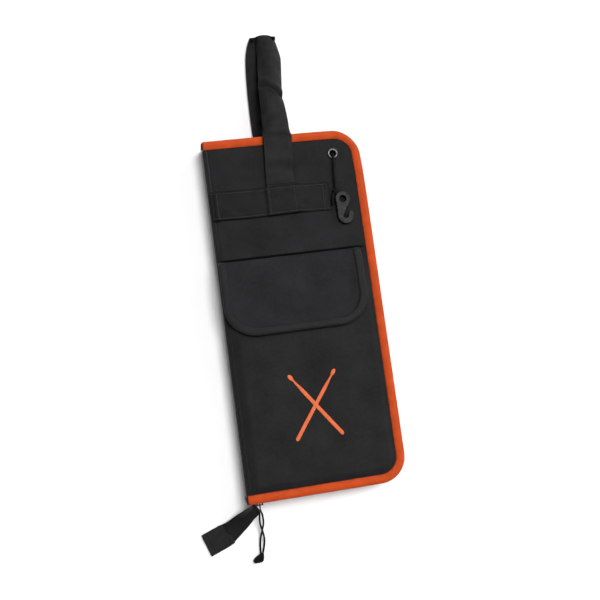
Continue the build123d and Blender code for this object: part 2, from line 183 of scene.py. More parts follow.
class Nodes:
    """Short way to write a material's nodes."""

    def __init__(self, name):
        self.material = bpy.data.materials.new(name)
        self.material.use_nodes = True
        self.tree = self.material.node_tree
        self.shader = self.tree.nodes["Principled BSDF"]

    def add(self, kind, inputs=(), **settings):
        node = self.tree.nodes.new("ShaderNode" + kind)
        for key, value in settings.items():
            setattr(node, key, value)
        for key, value in dict(inputs).items():
            if isinstance(value, bpy.types.NodeSocket):
                self.tree.links.new(value, node.inputs[key])
            else:
                node.inputs[key].default_value = value
        return node

    def math(self, operation, a, b=0.0):
        return self.add("Math", {0: a, 1: b}, operation=operation).outputs[0]

    def place(self, uv):
        """Texture coordinates in metres: along the piece's own cloth (its UV map), or in the object."""
        return self.add("UVMap").outputs[0] if uv else self.add("TexCoord").outputs["Object"]

    def noise(self, vector, size, detail=3.0, roughness=0.55):
        inputs = {"Vector": vector, "Scale": 1 / size, "Detail": detail, "Roughness": roughness}
        return self.add("TexNoise", inputs).outputs["Fac"]

    def wave(self, value, pitch):
        """Sine ridges of one pitch along a coordinate, 0 to 1."""
        turn = self.math("MULTIPLY", value, 2 * math.pi / pitch)
        return self.math("ADD", self.math("MULTIPLY", self.math("SINE", turn), 0.5), 0.5)

    def ramp(self, value, stops):
        node = self.add("ValToRGB", {"Fac": value})
        for index, (position, colour) in enumerate(stops):
            elements = node.color_ramp.elements
            stop = elements[index] if index < 2 else elements.new(position)
            stop.position = position
            stop.color = (*colour, 1)
        return node.outputs["Color"]

    def mottled(self, value, colour, low, high, spread=0.2):
        """The colour times low to high, as the value goes over its middle."""
        return self.ramp(value, [(0.5 - spread, shade(colour, low)), (0.5 + spread, shade(colour, high))])

    def mix(self, share, one, two, kind="MIX"):
        return self.add("MixRGB", {"Fac": share, "Color1": one, "Color2": two}, blend_type=kind).outputs[0]

    def set(self, **inputs):
        for key, value in inputs.items():
            socket = self.shader.inputs[key.replace("_", " ")]
            if isinstance(value, bpy.types.NodeSocket):
                self.tree.links.new(value, socket)
            else:
                socket.default_value = value

    def painted_crevice_shade(self, colour, reach=0.006, darkest_painted_shade=0.06):
        """Painted shade: the colour darkened by ambient occlusion where neighbouring cloth stands close, in
        creases, grooves and under raised edges.
        """
        open_sky = self.add("AmbientOcclusion", {"Distance": reach}, samples=8).outputs["AO"]
        depth = self.ramp(open_sky, [(0.35, (darkest_painted_shade,) * 3), (0.88, (1, 1, 1))])
        return self.mix(1, colour, depth, "MULTIPLY")

    def relief(self, height, depth, strength=0.8):
        node = self.add("Bump", {"Height": height, "Distance": depth, "Strength": strength})
        self.tree.links.new(node.outputs[0], self.shader.inputs["Normal"])


def shade(colour, factor):
    return tuple(min(1.0, c * factor) for c in colour)


def cloth(name, colour, pitch=0.0011, sheen=0.05, rough=0.8, worn=0.0, reach=0.006):
    """Woven nylon: plain weave, uneven dye, a faint sheen and small scuffs."""
    n = Nodes(name)
    uv = n.place(True)
    parts = n.add("SeparateXYZ", {"Vector": uv})
    across, along = (n.wave(parts.outputs[k], pitch) for k in (0, 1))
    weave = n.math("ABSOLUTE", n.math("SUBTRACT", across, along))
    large = n.noise(uv, 0.045, 4)
    small = n.noise(uv, 0.004, 5, 0.7)
    tone = n.math("ADD", n.math("MULTIPLY", large, 0.6), n.math("MULTIPLY", small, 0.4))
    base = n.mottled(tone, colour, 0.58, 1.42)
    mixed = n.mix(0.55, base, n.ramp(weave, [(0.0, (0.72,) * 3), (0.8, (1.1,) * 3)]), "MULTIPLY")
    scuff = n.ramp(n.noise(uv, 0.012, 6, 0.75), [(0.66, (0, 0, 0)), (0.8, (1, 1, 1))])
    final = n.mix(n.math("MULTIPLY", scuff, worn), mixed, (*shade(colour, 2.6), 1))
    # Painted shade: the base colour is darkened by ambient occlusion in creases and beside raised cloth, out
    # to reach.
    n.set(Base_Color=n.painted_crevice_shade(final, reach), Roughness=rough, Sheen_Weight=sheen, Sheen_Roughness=0.4)
    n.set(Specular_IOR_Level=0.12)
    n.relief(n.math("ADD", weave, n.math("MULTIPLY", small, 0.8)), 0.00012, 0.7)
    return n.material


def ribbed_tape(name, colour, pitch=0.0010, rough=0.62, sheen=0.06):
    """Grosgrain or zip tape: ribs across its length, finer threads along it."""
    n = Nodes(name)
    uv = n.place(True)
    parts = n.add("SeparateXYZ", {"Vector": uv})
    ribs = n.wave(parts.outputs[0], pitch)
    threads = n.wave(parts.outputs[1], pitch * 0.6)
    base = n.mottled(n.noise(uv, 0.02, 4, 0.6), colour, 0.86, 1.12, 0.18)
    final = n.mix(0.6, base, n.ramp(ribs, [(0.0, (0.8,) * 3), (0.7, (1.06,) * 3)]), "MULTIPLY")
    # Painted shade: the tape's colour is darkened by ambient occlusion where other cloth stands close.
    n.set(Base_Color=n.painted_crevice_shade(final), Roughness=rough, Sheen_Weight=sheen, Sheen_Roughness=0.35)
    n.set(Specular_IOR_Level=0.12)
    n.relief(n.math("ADD", ribs, n.math("MULTIPLY", threads, 0.3)), 0.00018)
    return n.material


def webbing(name, colour):
    """Seat-belt style webbing: herringbone threads over long ribs."""
    n = Nodes(name)
    uv = n.place(True)
    parts = n.add("SeparateXYZ", {"Vector": uv})
    along, across = parts.outputs[0], parts.outputs[1]
    twill = n.wave(n.math("ADD", along, n.math("PINGPONG", across, 0.0032)), 0.0016)
    ribs = n.wave(across, 0.0032)
    base = n.mottled(n.noise(uv, 0.022, 4, 0.6), colour, 0.55, 1.5)
    final = n.mix(0.7, base, n.ramp(twill, [(0.0, (0.7,) * 3), (0.8, (1.15,) * 3)]), "MULTIPLY")
    # Painted shade: the webbing's colour is darkened by ambient occlusion where other cloth stands close.
    n.set(Base_Color=n.painted_crevice_shade(final), Roughness=0.6, Sheen_Weight=0.04, Sheen_Roughness=0.3)
    n.set(Specular_IOR_Level=0.14)
    n.relief(n.math("ADD", twill, n.math("MULTIPLY", ribs, 0.25)), 0.00015)
    return n.material


def plain_detail(name, colour, rough, grain, depth, metallic=0.0, variation=0.15, specular=0.5, uv=False):
    """Moulded plastic, lacquer, metal or print: fine grain, uneven gloss and light marks."""
    n = Nodes(name)
    where = n.place(uv)
    fine = n.noise(where, grain, 4, 0.6)
    base = n.mottled(n.noise(where, grain * 14, 3), colour, 1 - variation, 1 + variation)
    marks = n.ramp(n.noise(where, grain * 4, 6, 0.8), [(0.4, (rough * 0.8,) * 3), (0.7, (rough * 1.25,) * 3)])
    n.set(Base_Color=base, Roughness=marks, Metallic=metallic, Specular_IOR_Level=specular)
    n.relief(fine, depth, 0.6)
    return n.material


def cord_braid(name, colour):
    """Braided cord: crossing slanted threads."""
    n = Nodes(name)
    x, y = n.add("SeparateXYZ", {"Vector": n.place(False)}).outputs[:2]
    braid = n.math("MAXIMUM", *(n.wave(n.math(slant, x, y), 0.0011) for slant in ("ADD", "SUBTRACT")))
    base = n.ramp(braid, [(0.2, shade(colour, 0.6)), (0.9, shade(colour, 1.4))])
    n.set(Base_Color=base, Roughness=0.6, Sheen_Weight=0.03, Specular_IOR_Level=0.1)
    n.relief(braid, 0.0002)
    return n.material


def touch_tape(name, colour, depth):
    """Hook and loop tape: rows of tiny hooks, or a brushed pile."""
    n = Nodes(name)
    pile = n.noise(n.place(False), 0.0009, 5, 0.9)
    n.set(Base_Color=n.mottled(pile, colour, 0.5, 1.6, 0.15), Roughness=0.95, Sheen_Weight=0.5)
    n.relief(pile, depth, 1.0)
    return n.material


def make_materials():
    black = (0.0135, 0.0135, 0.0145)
    return {
        "shell": cloth("nylon_shell", black, worn=0.10),
        # The pocket's painted crevice shade reaches further: painted shade under the flap's raised edge.
        "pocket": cloth("nylon_pocket", (0.0145, 0.0145, 0.0153), worn=0.12, reach=0.009),
        "flap": cloth("nylon_flap", (0.0155, 0.0155, 0.0168), worn=0.08),
        "lining": cloth("lining_cloth", (0.02, 0.02, 0.022), pitch=0.0008, sheen=0.3, rough=0.6),
        "tab": ribbed_tape("tab_cloth", (0.0115, 0.0115, 0.012), pitch=0.0012, rough=0.6),
        "orange": ribbed_tape("orange_binding", (0.51, 0.063, 0.011), rough=0.7, sheen=0.02),
        "black_bind": ribbed_tape("black_binding", (0.0150, 0.0150, 0.0155), rough=0.5),
        "tape": ribbed_tape("zip_tape_cloth", (0.009, 0.009, 0.0095), pitch=0.0013, rough=0.75),
        "webbing": webbing("black_webbing", (0.0088, 0.0087, 0.0089)),
        "thread": ribbed_tape("black_thread", (0.030, 0.030, 0.031), pitch=0.0005),
        "orange_thread": ribbed_tape("orange_thread", (0.62, 0.10, 0.022), pitch=0.0005),
        # The band's own dark webbing; the handle's back half wears it too, as painted shade.
        "band": webbing("band_webbing_and_shaded_handle", (0.0046, 0.0045, 0.0046)),
        "pale_thread": ribbed_tape("pale_thread", (0.055, 0.054, 0.052), pitch=0.0005),
        "coil": plain_detail("coil_nylon", (0.012, 0.012, 0.0125), 0.35, 0.0006, 0.00003),
        "hook": plain_detail("hook_nylon", (0.0085, 0.0085, 0.0095), 0.5, 0.0008, 0.00005, specular=0.12),
        "slider": plain_detail("slider_lacquer", (0.008, 0.008, 0.008), 0.5, 0.0005, 0.00002, specular=0.2),
        "metal": plain_detail("nickel", (0.085, 0.084, 0.08), 0.5, 0.0006, 0.00001, metallic=1.0),
        "print": plain_detail("orange_print", (0.64, 0.115, 0.025), 0.75, 0.0009, 0.00008, variation=0.12,
                              uv=True),
        "cord": cord_braid("black_cord", (0.0022, 0.0022, 0.0023)),
        "foam": plain_detail("grey_foam", (0.08, 0.08, 0.085), 0.9, 0.0012, 0.0003),
        "touch": touch_tape("touch_fastener", (0.014, 0.014, 0.014), 0.0005),
    }


# Mesh building


def make_object(name, vertices, faces, material, uvs=None):
    """A smooth-shaded mesh object.  uvs holds one pair per vertex, in metres of cloth."""
    mesh = bpy.data.meshes.new(name)
    mesh.from_pydata([tuple(v) for v in vertices], [], faces)
    work = bmesh.new()
    work.from_mesh(mesh)
    kept = [v.index for v in work.verts if v.link_faces]
    bmesh.ops.delete(work, geom=[v for v in work.verts if not v.link_faces], context="VERTS")
    bmesh.ops.recalc_face_normals(work, faces=work.faces)
    work.to_mesh(mesh)
    work.free()
    if uvs is not None:
        layer = mesh.uv_layers.new(name="UVMap")
        corner = np.zeros(len(mesh.loops), int)
        mesh.loops.foreach_get("vertex_index", corner)
        layer.data.foreach_set("uv", np.asarray(uvs, float)[kept][corner].ravel())
    mesh.polygons.foreach_set("use_smooth", [True] * len(mesh.polygons))
    mesh.materials.append(material)
    return link(name, mesh)


def grid_normals(grid):
    """Unit normals of a grid of points, rows by columns by 3."""
    normals = np.cross(np.gradient(grid, axis=1), np.gradient(grid, axis=0))
    return normals / np.maximum(np.linalg.norm(normals, axis=2, keepdims=True), 1e-12)


def ring_faces(rings, count, closed=False):
    """Quads between neighbouring rings of points, and the two end caps unless the run closes on itself."""
    faces = []
    for k in range(rings if closed else rings - 1):
        here, there = k * count, (k + 1) % rings * count
        for m in range(count):
            after = (m + 1) % count
            faces.append((here + m, here + after, there + after, there + m))
    if not closed:
        faces += [tuple(range(count))[::-1], tuple(range((rings - 1) * count, rings * count))]
    return faces


def punch(grid, hole):
    """Cells inside a round hole, and the grid with the hole's rim drawn onto its circle."""
    centre, radius = hole
    flat = grid[:, :, :2] - np.array(centre)
    middle = (flat[:-1, :-1] + flat[1:, 1:]) / 2
    inside = np.linalg.norm(middle, axis=2) < radius
    touched = np.zeros(grid.shape[:2], int)
    kept = np.zeros(grid.shape[:2], int)
    for dj in (0, 1):
        for di in (0, 1):
            touched[dj:dj + inside.shape[0], di:di + inside.shape[1]] += inside
            kept[dj:dj + inside.shape[0], di:di + inside.shape[1]] += ~inside
    for j, i in zip(*np.where((touched > 0) & (kept > 0))):
        grid[j, i, :2] = np.array(centre) + flat[j, i] / np.linalg.norm(flat[j, i]) * radius
    return inside


def hole_walls(inside, index, size):
    """Faces that join the two layers of a sheet round its hole."""
    faces = []
    for j, i in zip(*np.where(inside)):
        for dj, di, a, b in ((-1, 0, (j, i), (j, i + 1)), (1, 0, (j + 1, i + 1), (j + 1, i)),
                             (0, -1, (j + 1, i), (j, i)), (0, 1, (j, i + 1), (j + 1, i + 1))):
            if not inside[j + dj, i + di]:
                faces.append((index[a], index[b], index[b] + size, index[a] + size))
    return faces


def sheet_solid(name, grid, thickness, material, outward=(0, 0, 1), normals=None, hole=None):
    """A closed cloth sheet from its outer face, a grid of points.  Its UVs are in metres of cloth."""
    grid = np.array(grid, float)
    rows, columns = grid.shape[:2]
    inside = punch(grid, hole) if hole else np.zeros((rows - 1, columns - 1), bool)
    if normals is None:
        normals = grid_normals(grid)
    if (normals @ np.array(outward)).mean() < 0:
        normals = -normals
    inner = grid - normals * thickness
    vertices = np.concatenate([grid.reshape(-1, 3), inner.reshape(-1, 3)])
    across = np.linalg.norm(np.diff(grid, axis=1), axis=2)
    u = np.concatenate([np.zeros((rows, 1)), np.cumsum(across, axis=1)], axis=1)
    along = np.linalg.norm(np.diff(grid, axis=0), axis=2).mean(axis=1)
    v = np.repeat(np.concatenate([[0.0], np.cumsum(along)])[:, None], columns, axis=1)
    uvs = np.stack([u, v], axis=2).reshape(-1, 2)
    size = rows * columns
    index = np.arange(size).reshape(rows, columns)
    a, b, c, d = index[:-1, :-1], index[:-1, 1:], index[1:, 1:], index[1:, :-1]
    top = np.stack([a, b, c, d], axis=2)[~inside]
    bottom = np.stack([a, d, c, b], axis=2)[~inside] + size
    rim = np.concatenate([index[0, :], index[1:, -1], index[-1, -2::-1], index[-2:0:-1, 0]])
    after = np.roll(rim, -1)
    edge = np.stack([after, rim, rim + size, after + size], axis=1)
    faces = np.concatenate([top, bottom, edge]).tolist() + hole_walls(inside, index, size)
    return make_object(name, vertices.tolist(), faces, material, np.concatenate([uvs, uvs]).tolist())


def sweep(name, stations, profile, material, vary=None):
    """Carries a closed profile along stations of (place, across, up); vary(place, a, b) moves its points."""
    vertices, uvs, run, lengths = [], [], 0.0, [0.0]
    for (x0, y0), (x1, y1) in zip(profile, profile[1:]):
        lengths.append(lengths[-1] + math.hypot(x1 - x0, y1 - y0))
    for index, (place, across, up) in enumerate(stations):
        if index:
            run += (place - stations[index - 1][0]).length
        for (a, b), length in zip(profile, lengths):
            if vary:
                a, b = vary(place, a, b)
            vertices.append(place + across * a + up * b)
            uvs.append((run, length))
    return make_object(name, vertices, ring_faces(len(stations), len(profile)), material, uvs)


def merge(name, objects):
    """Several objects of one material as one piece."""
    vertices, faces, uvs = [], [], []
    for obj in objects:
        base = len(vertices)
        vertices += [obj.matrix_world @ v.co for v in obj.data.vertices]
        layer = obj.data.uv_layers.active
        place = [(0.0, 0.0)] * len(obj.data.vertices)
        if layer:
            for loop in obj.data.loops:
                place[loop.vertex_index] = tuple(layer.data[loop.index].uv)
        uvs += place
        faces += [tuple(base + i for i in p.vertices) for p in obj.data.polygons]
    material = objects[0].data.materials[0]
    for obj in objects:
        bpy.data.objects.remove(obj)
    return make_object(name, vertices, faces, material, uvs)


def outline(inset, step, left=0.0):
    """Stations round the bag's three open sides, from the spine's top end to its bottom end."""
    radius = CORNER - inset
    x1, y0, y1 = WIDTH - inset, inset, HEIGHT - inset
    marks = []

    def line(a, b, normal):
        count = max(2, round(math.dist(a, b) / step))
        for k in range(count):
            t = k / count
            marks.append(((a[0] + (b[0] - a[0]) * t, a[1] + (b[1] - a[1]) * t), normal))

    def arc(centre, start):
        count = max(6, round(radius * math.pi / 2 / step))
        for k in range(count):
            angle = math.radians(start - 90 * k / count)
            normal = (math.cos(angle), math.sin(angle))
            marks.append(((centre[0] + radius * normal[0], centre[1] + radius * normal[1]), normal))

    line((left, y1), (x1 - radius, y1), (0, 1))
    arc((x1 - radius, y1 - radius), 90)
    line((x1, y1 - radius), (x1, y0 + radius), (1, 0))
    arc((x1 - radius, y0 + radius), 0)
    line((x1 - radius, y0), (left, y0), (0, -1))
    marks.append(((left, y0), (0, -1)))
    return marks


# A stitch from end to end: way along it, thickness and lift, as shares of its length and its thread
STITCH = [(-0.5, 0.15, -0.9), (-0.42, 0.8, -0.1), (-0.2, 1.0, 0.45), (0.2, 1.0, 0.45), (0.42, 0.8, -0.1),
          (0.5, 0.15, -0.9)]
STITCH_SIDES = 6


def stitched_path(name, points, up, material, pitch=0.0036, length=0.0026, radius=0.00032):
    """Sewn stitches along a polyline: small rounded threads that dip into the cloth at their ends."""
    vertices, faces, uvs = [], [], []
    ahead = 0.0
    for a, b in zip(points, points[1:]):
        run = (b - a).length
        if run < 1e-9:
            continue
        tangent = (b - a) / run
        side = tangent.cross(up).normalized()
        while ahead <= run:
            base = len(vertices)
            for along, thick, lift in STITCH:
                centre = a + tangent * ahead + tangent * along * length + up * lift * radius
                for k in range(STITCH_SIDES):
                    angle = 2 * math.pi * k / STITCH_SIDES
                    vertices.append(centre + (side * math.cos(angle) + up * math.sin(angle)) * radius * thick)
                    uvs.append((along * length, k * radius))
            faces += [tuple(base + i for i in face) for face in ring_faces(len(STITCH), STITCH_SIDES)]
            ahead += pitch
        ahead -= run
    return make_object(name, vertices, faces, material, uvs)


def finish_piece(obj, body, slot, *nodes, edge=None):
    if edge:
        spread_object(obj, edge)
    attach(obj, body)
    if nodes:
        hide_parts(*nodes)
    return obj


def inset_of(x, y):
    """Distance in from the bag's bound outline, which is open at the spine.  Works on arrays."""
    qx = x - (WIDTH - CORNER)
    qy = np.abs(y - HEIGHT / 2) - (HEIGHT / 2 - CORNER)
    round_part = np.hypot(np.maximum(qx, 0), np.maximum(qy, 0))
    return CORNER - np.where((qx > 0) & (qy > 0), round_part, np.maximum(qx, qy))


def right_limit(y, inset):
    """How far right a row at height y reaches, at a given inset from the outline."""
    qy = max(abs(y - HEIGHT / 2) - (HEIGHT / 2 - CORNER), 0.0)
    return WIDTH - CORNER + math.sqrt(max((CORNER - inset) ** 2 - qy ** 2, 0.0))


def hump(v, centre, width):
    """A bell, 1 at its centre."""
    return np.exp(-(((v - centre) / width) ** 2))


def wrinkles(x, y, scale, seed, turn=0.0):
    """Noise in a grid of places, with the wrinkles drawn out along a direction."""
    c, s = math.cos(turn), math.sin(turn)
    flat = [noise.noise(Vector(((c * a + s * b) / scale, (c * b - s * a) / (scale * 0.35), seed)))
            for a, b in zip(np.ravel(x), np.ravel(y))]
    return np.reshape(flat, np.shape(x))


def height_at(face, x, y):
    """Height of one place on a surface that is written for arrays."""
    return float(face(np.array([x]), np.array([y]))[0])


def placed(grid):
    """Points given from the spine, the bottom edge and the back panel's outer face, in the frame."""
    return np.array(grid) + np.array(at(0, 0))


# The bag's surfaces, as heights above the back panel's outer face

CREASE = 0.3105              # height of the fold that hides the flap's root
POCKET_RISE = 0.0058
FLAP_FACE = 0.0404           # where the flap's face lies over the pocket


def hook_room(x, y):
    """1 where the swinging hook passes over the panel and its band, and 0 away from there."""
    reach = np.hypot(x - EYELET_X, y - EYELET_Y)
    return smooth((0.112 - reach) / 0.010) * smooth((x - 0.122) / 0.012) * smooth((0.430 - y) / 0.010)


def panel_puff(x, y, seed):
    """How far the padded cloth stands out of its flat place."""
    inset = inset_of(x, y)
    puff = 0.0011 * smooth((inset - 0.007) / 0.02) * smooth((x - 0.004) / 0.018)
    soft = (0.0011 * wrinkles(x, y, 0.06, seed, 0.35) + 0.00045 * wrinkles(x, y, 0.022, seed + 3, -0.4)
            + 0.00012 * wrinkles(x, y, 0.009, seed + 5, 0.9))
    groove = -0.0011 * hump(x, FOLD_SEAM, 0.0011) + 0.0004 * hump(x, 0.0025, 0.0016)
    under_band = smooth((y - 0.356) / 0.006) * smooth((0.408 - y) / 0.006)
    swell = puff + soft * smooth((inset - 0.006) / 0.014) * smooth((x - 0.008) / 0.012)
    swell = swell * (1 - hook_room(x, y) * (0.5 + 0.5 * under_band))
    near = np.hypot(x - EYELET_X, y - EYELET_Y)
    free = smooth((near - 0.0072) / 0.009)
    return swell * free - 0.0002 * (1 - free) + groove


def front_top(x, y):
    """Outer face of the front panel, with the fold that hides the flap's root and the pull of the cord."""
    height = THICK + panel_puff(x, y, 0.0)
    above = np.maximum(y - CREASE, 0)
    fold = 0.0042 * np.exp(-above / 0.011) * np.sqrt(np.clip((y - CREASE + 0.0012) / 0.0024, 0, 1))
    tuck = -0.0006 * smooth((CREASE - 0.0008 - y) / 0.0008)
    cord_side = 0.00045 * hump(y, 0.4185, 0.0028) * smooth((x - 0.177) / 0.006) * smooth((0.199 - x) / 0.004)
    pulls = 0.0003 * hump(y, 0.4065, 0.0022) * hump(x, 0.163, 0.008)
    inside = smooth(x / 0.004) * smooth((inset_of(x, y) - 0.0105) / 0.009)
    return height + (fold + tuck) * inside + cord_side + pulls


def back_top(x, y):
    return panel_puff(x, y, 7.0)


def pocket_top(x, y):
    """Outer face of the outside pocket."""
    inset = inset_of(x, y)
    edge = np.minimum(inset - 0.0100, (x - 0.0045) * 0.9)
    mouth = 1 - 0.75 * smooth((y - 0.272) / 0.030)
    rise = POCKET_RISE * smooth(edge / 0.012) * mouth
    broad = 0.0009 * np.sin(np.clip(edge / 0.075, 0, 1) * math.pi / 2)
    soft = (0.0010 * wrinkles(x, y, 0.065, 21.0, 0.3) + 0.00040 * wrinkles(x, y, 0.024, 24.0, 1.1)
            + 0.00012 * wrinkles(x, y, 0.009, 27.0, 0.2))
    return THICK + 0.0004 + rise + (broad + soft) * smooth(edge / 0.02)


FLAP_LOW, FLAP_LEFT, FLAP_RIGHT, FLAP_CORNER = 0.2095, 0.0015, 0.1888, 0.040


def flap_inset(x, y):
    """Distance in from the flap's three bound edges."""
    qx = np.maximum((FLAP_LEFT + FLAP_CORNER) - x, x - (FLAP_RIGHT - FLAP_CORNER))
    qy = (FLAP_LOW + FLAP_CORNER) - y
    round_part = np.hypot(np.maximum(qx, 0), np.maximum(qy, 0))
    return FLAP_CORNER - np.where((qx > 0) & (qy > 0), round_part, np.maximum(qx, qy))


def flap_top(x, y):
    """Outer face of the flap, which springs up from its crease and lies over the pocket."""
    rise = np.sqrt(np.clip(1 - (1 - np.clip((CREASE - 0.0020 - y) / 0.0058, 0, 1)) ** 2, 0, 1))
    level = THICK + 0.0004 + (FLAP_FACE - THICK - 0.0004) * rise
    edge = flap_inset(x, y)
    puff = 0.0009 * smooth(edge / 0.03) * smooth((CREASE - y) / 0.03)
    soft = 0.0008 * wrinkles(x, y, 0.055, 41.0, 0.2) + 0.00032 * wrinkles(x, y, 0.020, 44.0, 0.9)
    rim = 0.0026 * smooth((0.024 - edge) / 0.018) * smooth((CREASE - 0.004 - y) / 0.02)
    return level + puff + rim + soft * smooth((CREASE - y) / 0.02)


# Panels

EYELET_HOLE = ((EYELET.x, EYELET.y), 0.0044)
BODY = {"front": "cover", "back": "back"}


def spine_lean(z):
    """The soft spine draws in towards the back panel."""
    return 0.0022 * (1 - z / THICK)


def spread(grid, side):
    """The soft corner of the front draws in a little; the back panel's open edge lies further out."""
    grid = np.array(grid, float)
    x = grid[..., 0] - RIM_LOW.x
    y = grid[..., 1] - RIM_LOW.y
    near_edge = 1 - smooth((inset_of(x, y) - 0.004) / 0.022)
    if side == "front":
        corner = 0.0026 * np.exp(-(np.hypot(x - WIDTH + 0.006, y - HEIGHT + 0.006) / 0.036) ** 2)
        grid[..., 0] -= corner * near_edge
        grid[..., 1] -= 0.6 * corner * near_edge
        return grid
    side_amount = (0.0014 * smooth((y - 0.02) / 0.08) * smooth((0.455 - y) / 0.05)
                   + 0.0026 * hump(y, 0.405, 0.040)) * smooth((x - 0.15) / 0.05)
    top_amount = 0.0032 * hump(x, 0.150, 0.035) * smooth((y - 0.40) / 0.06)
    grid[..., 0] += side_amount * near_edge
    grid[..., 1] += top_amount * near_edge
    return grid


def spread_object(obj, side):
    """Moves the vertices of a finished piece of a panel with spread()."""
    flat = np.zeros(len(obj.data.vertices) * 3)
    obj.data.vertices.foreach_get("co", flat)
    obj.data.vertices.foreach_set("co", spread(flat.reshape(-1, 3), side).ravel())
    obj.data.update()


def wrapped_panel(side):
    """Outer cloth of one panel, carried round the fold to the middle of the spine."""
    face = front_top if side == "front" else back_top
    sign = 1 if side == "front" else -1
    plane = THICK if side == "front" else 0.0
    bend = 0.0042
    rows = np.linspace(0.0011, HEIGHT - 0.0011, 190)
    if side == "front":
        rows = np.sort(np.concatenate([rows, np.linspace(CREASE - 0.0022, CREASE + 0.006, 18)]))
    grid = []
    for y in rows:
        line = []
        for z in np.linspace(THICK / 2, bend if side == "back" else THICK - bend, 7)[:-1]:
            bulge = 0.0006 * math.sin(math.pi * (abs(z - plane) / THICK))
            line.append((spine_lean(z) - bulge, y, z))
        for angle in np.linspace(0, math.pi / 2, 7):
            z = plane + sign * (bend * math.sin(angle) - bend)
            line.append((spine_lean(z) + bend - bend * math.cos(angle), y, z))
        right = right_limit(y, 0.0011)
        start = bend + spine_lean(plane)
        xs = start + (right - start) * np.linspace(0, 1, 92)[1:] ** 1.12
        ys = np.full_like(xs, y)
        line += list(zip(xs, ys, sign * face(xs, ys)))
        grid.append(line)
    grid = spread(placed(grid), side)
    obj = sheet_solid(f"{side}_panel_cloth", grid, 0.0007, MAT["shell"], (0, 0, sign), hole=EYELET_HOLE)
    row = [at(FOLD_SEAM, y, sign * height_at(face, FOLD_SEAM, y) + sign * 0.0001)
           for y in np.linspace(0.004, HEIGHT - 0.004, 240)]
    thread = stitched_path(f"{side}_fold_stitches", row, UP * sign, MAT["thread"], pitch=0.0040,
                           length=0.0028)
    finish_piece(thread, BODY[side], "shell_fabric")
    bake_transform(obj)
    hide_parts(*(["front_shell", "spine_shell"] if side == "front" else ["back_shell"]))
    return obj


def rim_stations(step, left):
    """Stations for sweep() along the bag's outline, looking in from its edge."""
    return [(at(x, y, 0), Vector((-nx, -ny, 0)), UP)
            for (x, y), (nx, ny) in outline(0.0, step, left=left)]


# Outer skin of the folded binding: distance in from the edge, and height above the panel's face
BINDING_SKIN = [(0.0116, 0.0002), (0.0114, 0.0009), (0.0098, 0.0012), (0.0076, 0.0021), (0.0046, 0.0022),
                (0.0018, 0.0014), (-0.0001, -0.0001), (-0.0006, -0.0022), (-0.0004, -0.0042),
                (0.0010, -0.0055), (0.0045, -0.0058), (0.0080, -0.0055), (0.0080, -0.0047),
                (0.0045, -0.0050), (0.0014, -0.0045), (0.0005, -0.0022), (0.0014, 0.0001), (0.0040, 0.0003)]


def binding(side):
    """Ribbed orange tape folded over a panel's edge, with its stitches."""
    flip = (lambda z: z) if side == "front" else (lambda z: THICK - z)
    out = 1 if side == "front" else -1
    profile = [(a, flip(THICK + z)) for a, z in BINDING_SKIN]
    stations = rim_stations(0.0022, 0.0014)

    def pucker(place, a, b):
        inner = smooth((a - 0.004) / 0.006)
        wave = (0.00035 * ripple(place.x * 3, place.y * 3, 0.02, 3.0)
                + 0.0002 * ripple(place.x, place.y, 0.006, 9.0))
        return a + wave * 0.8 * inner, b + out * wave * (0.4 + inner)

    tape = sweep(f"{side}_binding_tape", stations, profile, MAT["orange"], vary=pucker)
    finish_piece(tape, BODY[side], "orange_binding", f"{side}_binding", edge=side)
    path = [at(x, y, flip(THICK + 0.0011)) for (x, y), _ in outline(0.0097, 0.0022, left=0.0036)]
    thread = stitched_path(f"{side}_binding_stitches", path, UP * out, MAT["orange_thread"])
    finish_piece(thread, BODY[side], "orange_binding", edge=side)


ZIP_LEFT = {"back": 0.005, "front": 0.026}   # the front coil starts past the parked slider
COIL_PITCH, COIL_STEPS, COIL_LEVEL = 0.0015, 8, 0.0140


def zip_tape(side):
    """Woven tape standing on the panel's edge, with its nylon coil along the open edge."""
    flip = (lambda z: THICK - z) if side == "front" else (lambda z: z)
    foot, left = 0.0045, ZIP_LEFT[side]
    heights = np.linspace(foot, 0.0133, 9).tolist()
    profile = [(0.0020, flip(z)) for z in heights] + [(0.0028, flip(z)) for z in reversed(heights)]

    def wavy(place, a, b):
        lift = smooth(abs(b - flip(foot)) / 0.006)
        return a + 0.00045 * lift * ripple(place.x, place.y, 0.018, 13.0), b

    tape = sweep(f"{side}_zip_tape_cloth", rim_stations(0.003, left), profile, MAT["tape"], vary=wavy)
    finish_piece(tape, BODY[side], "zip_tape", f"{side}_zip_tape", edge=side)
    row = [at(x, y, flip(0.0075)) for (x, y), _ in outline(0.0019, 0.003, left=left)]
    thread = stitched_path(f"{side}_zip_stitches", row, UP, MAT["thread"])
    finish_piece(thread, BODY[side], "zip_tape", edge=side)
    marks = outline(0.0024, COIL_PITCH, left=left)
    points = []
    for index, ((x, y), (nx, ny)) in enumerate(marks):
        x2, y2 = marks[min(index + 1, len(marks) - 1)][0]
        for part in range(COIL_STEPS):
            ahead = part / COIL_STEPS
            angle = 2 * math.pi * ahead
            offset = 0.00085 * math.cos(angle)
            points.append(at(x + (x2 - x) * ahead + nx * offset, y + (y2 - y) * ahead + ny * offset,
                             flip(COIL_LEVEL) + 0.00052 * math.sin(angle)))
    teeth = tube(f"{side}_coil_teeth", points, 0.00028, MAT["coil"], sides=5)
    finish_piece(teeth, BODY[side], "zip_coil", f"{side}_zip_coil", edge=side)
    line = [at(x, y, flip(COIL_LEVEL)) for (x, y), _ in marks[::2]]
    core = tube(f"{side}_coil_cord", line, 0.00045, MAT["thread"], sides=6)
    finish_piece(core, BODY[side], "zip_coil", edge=side)


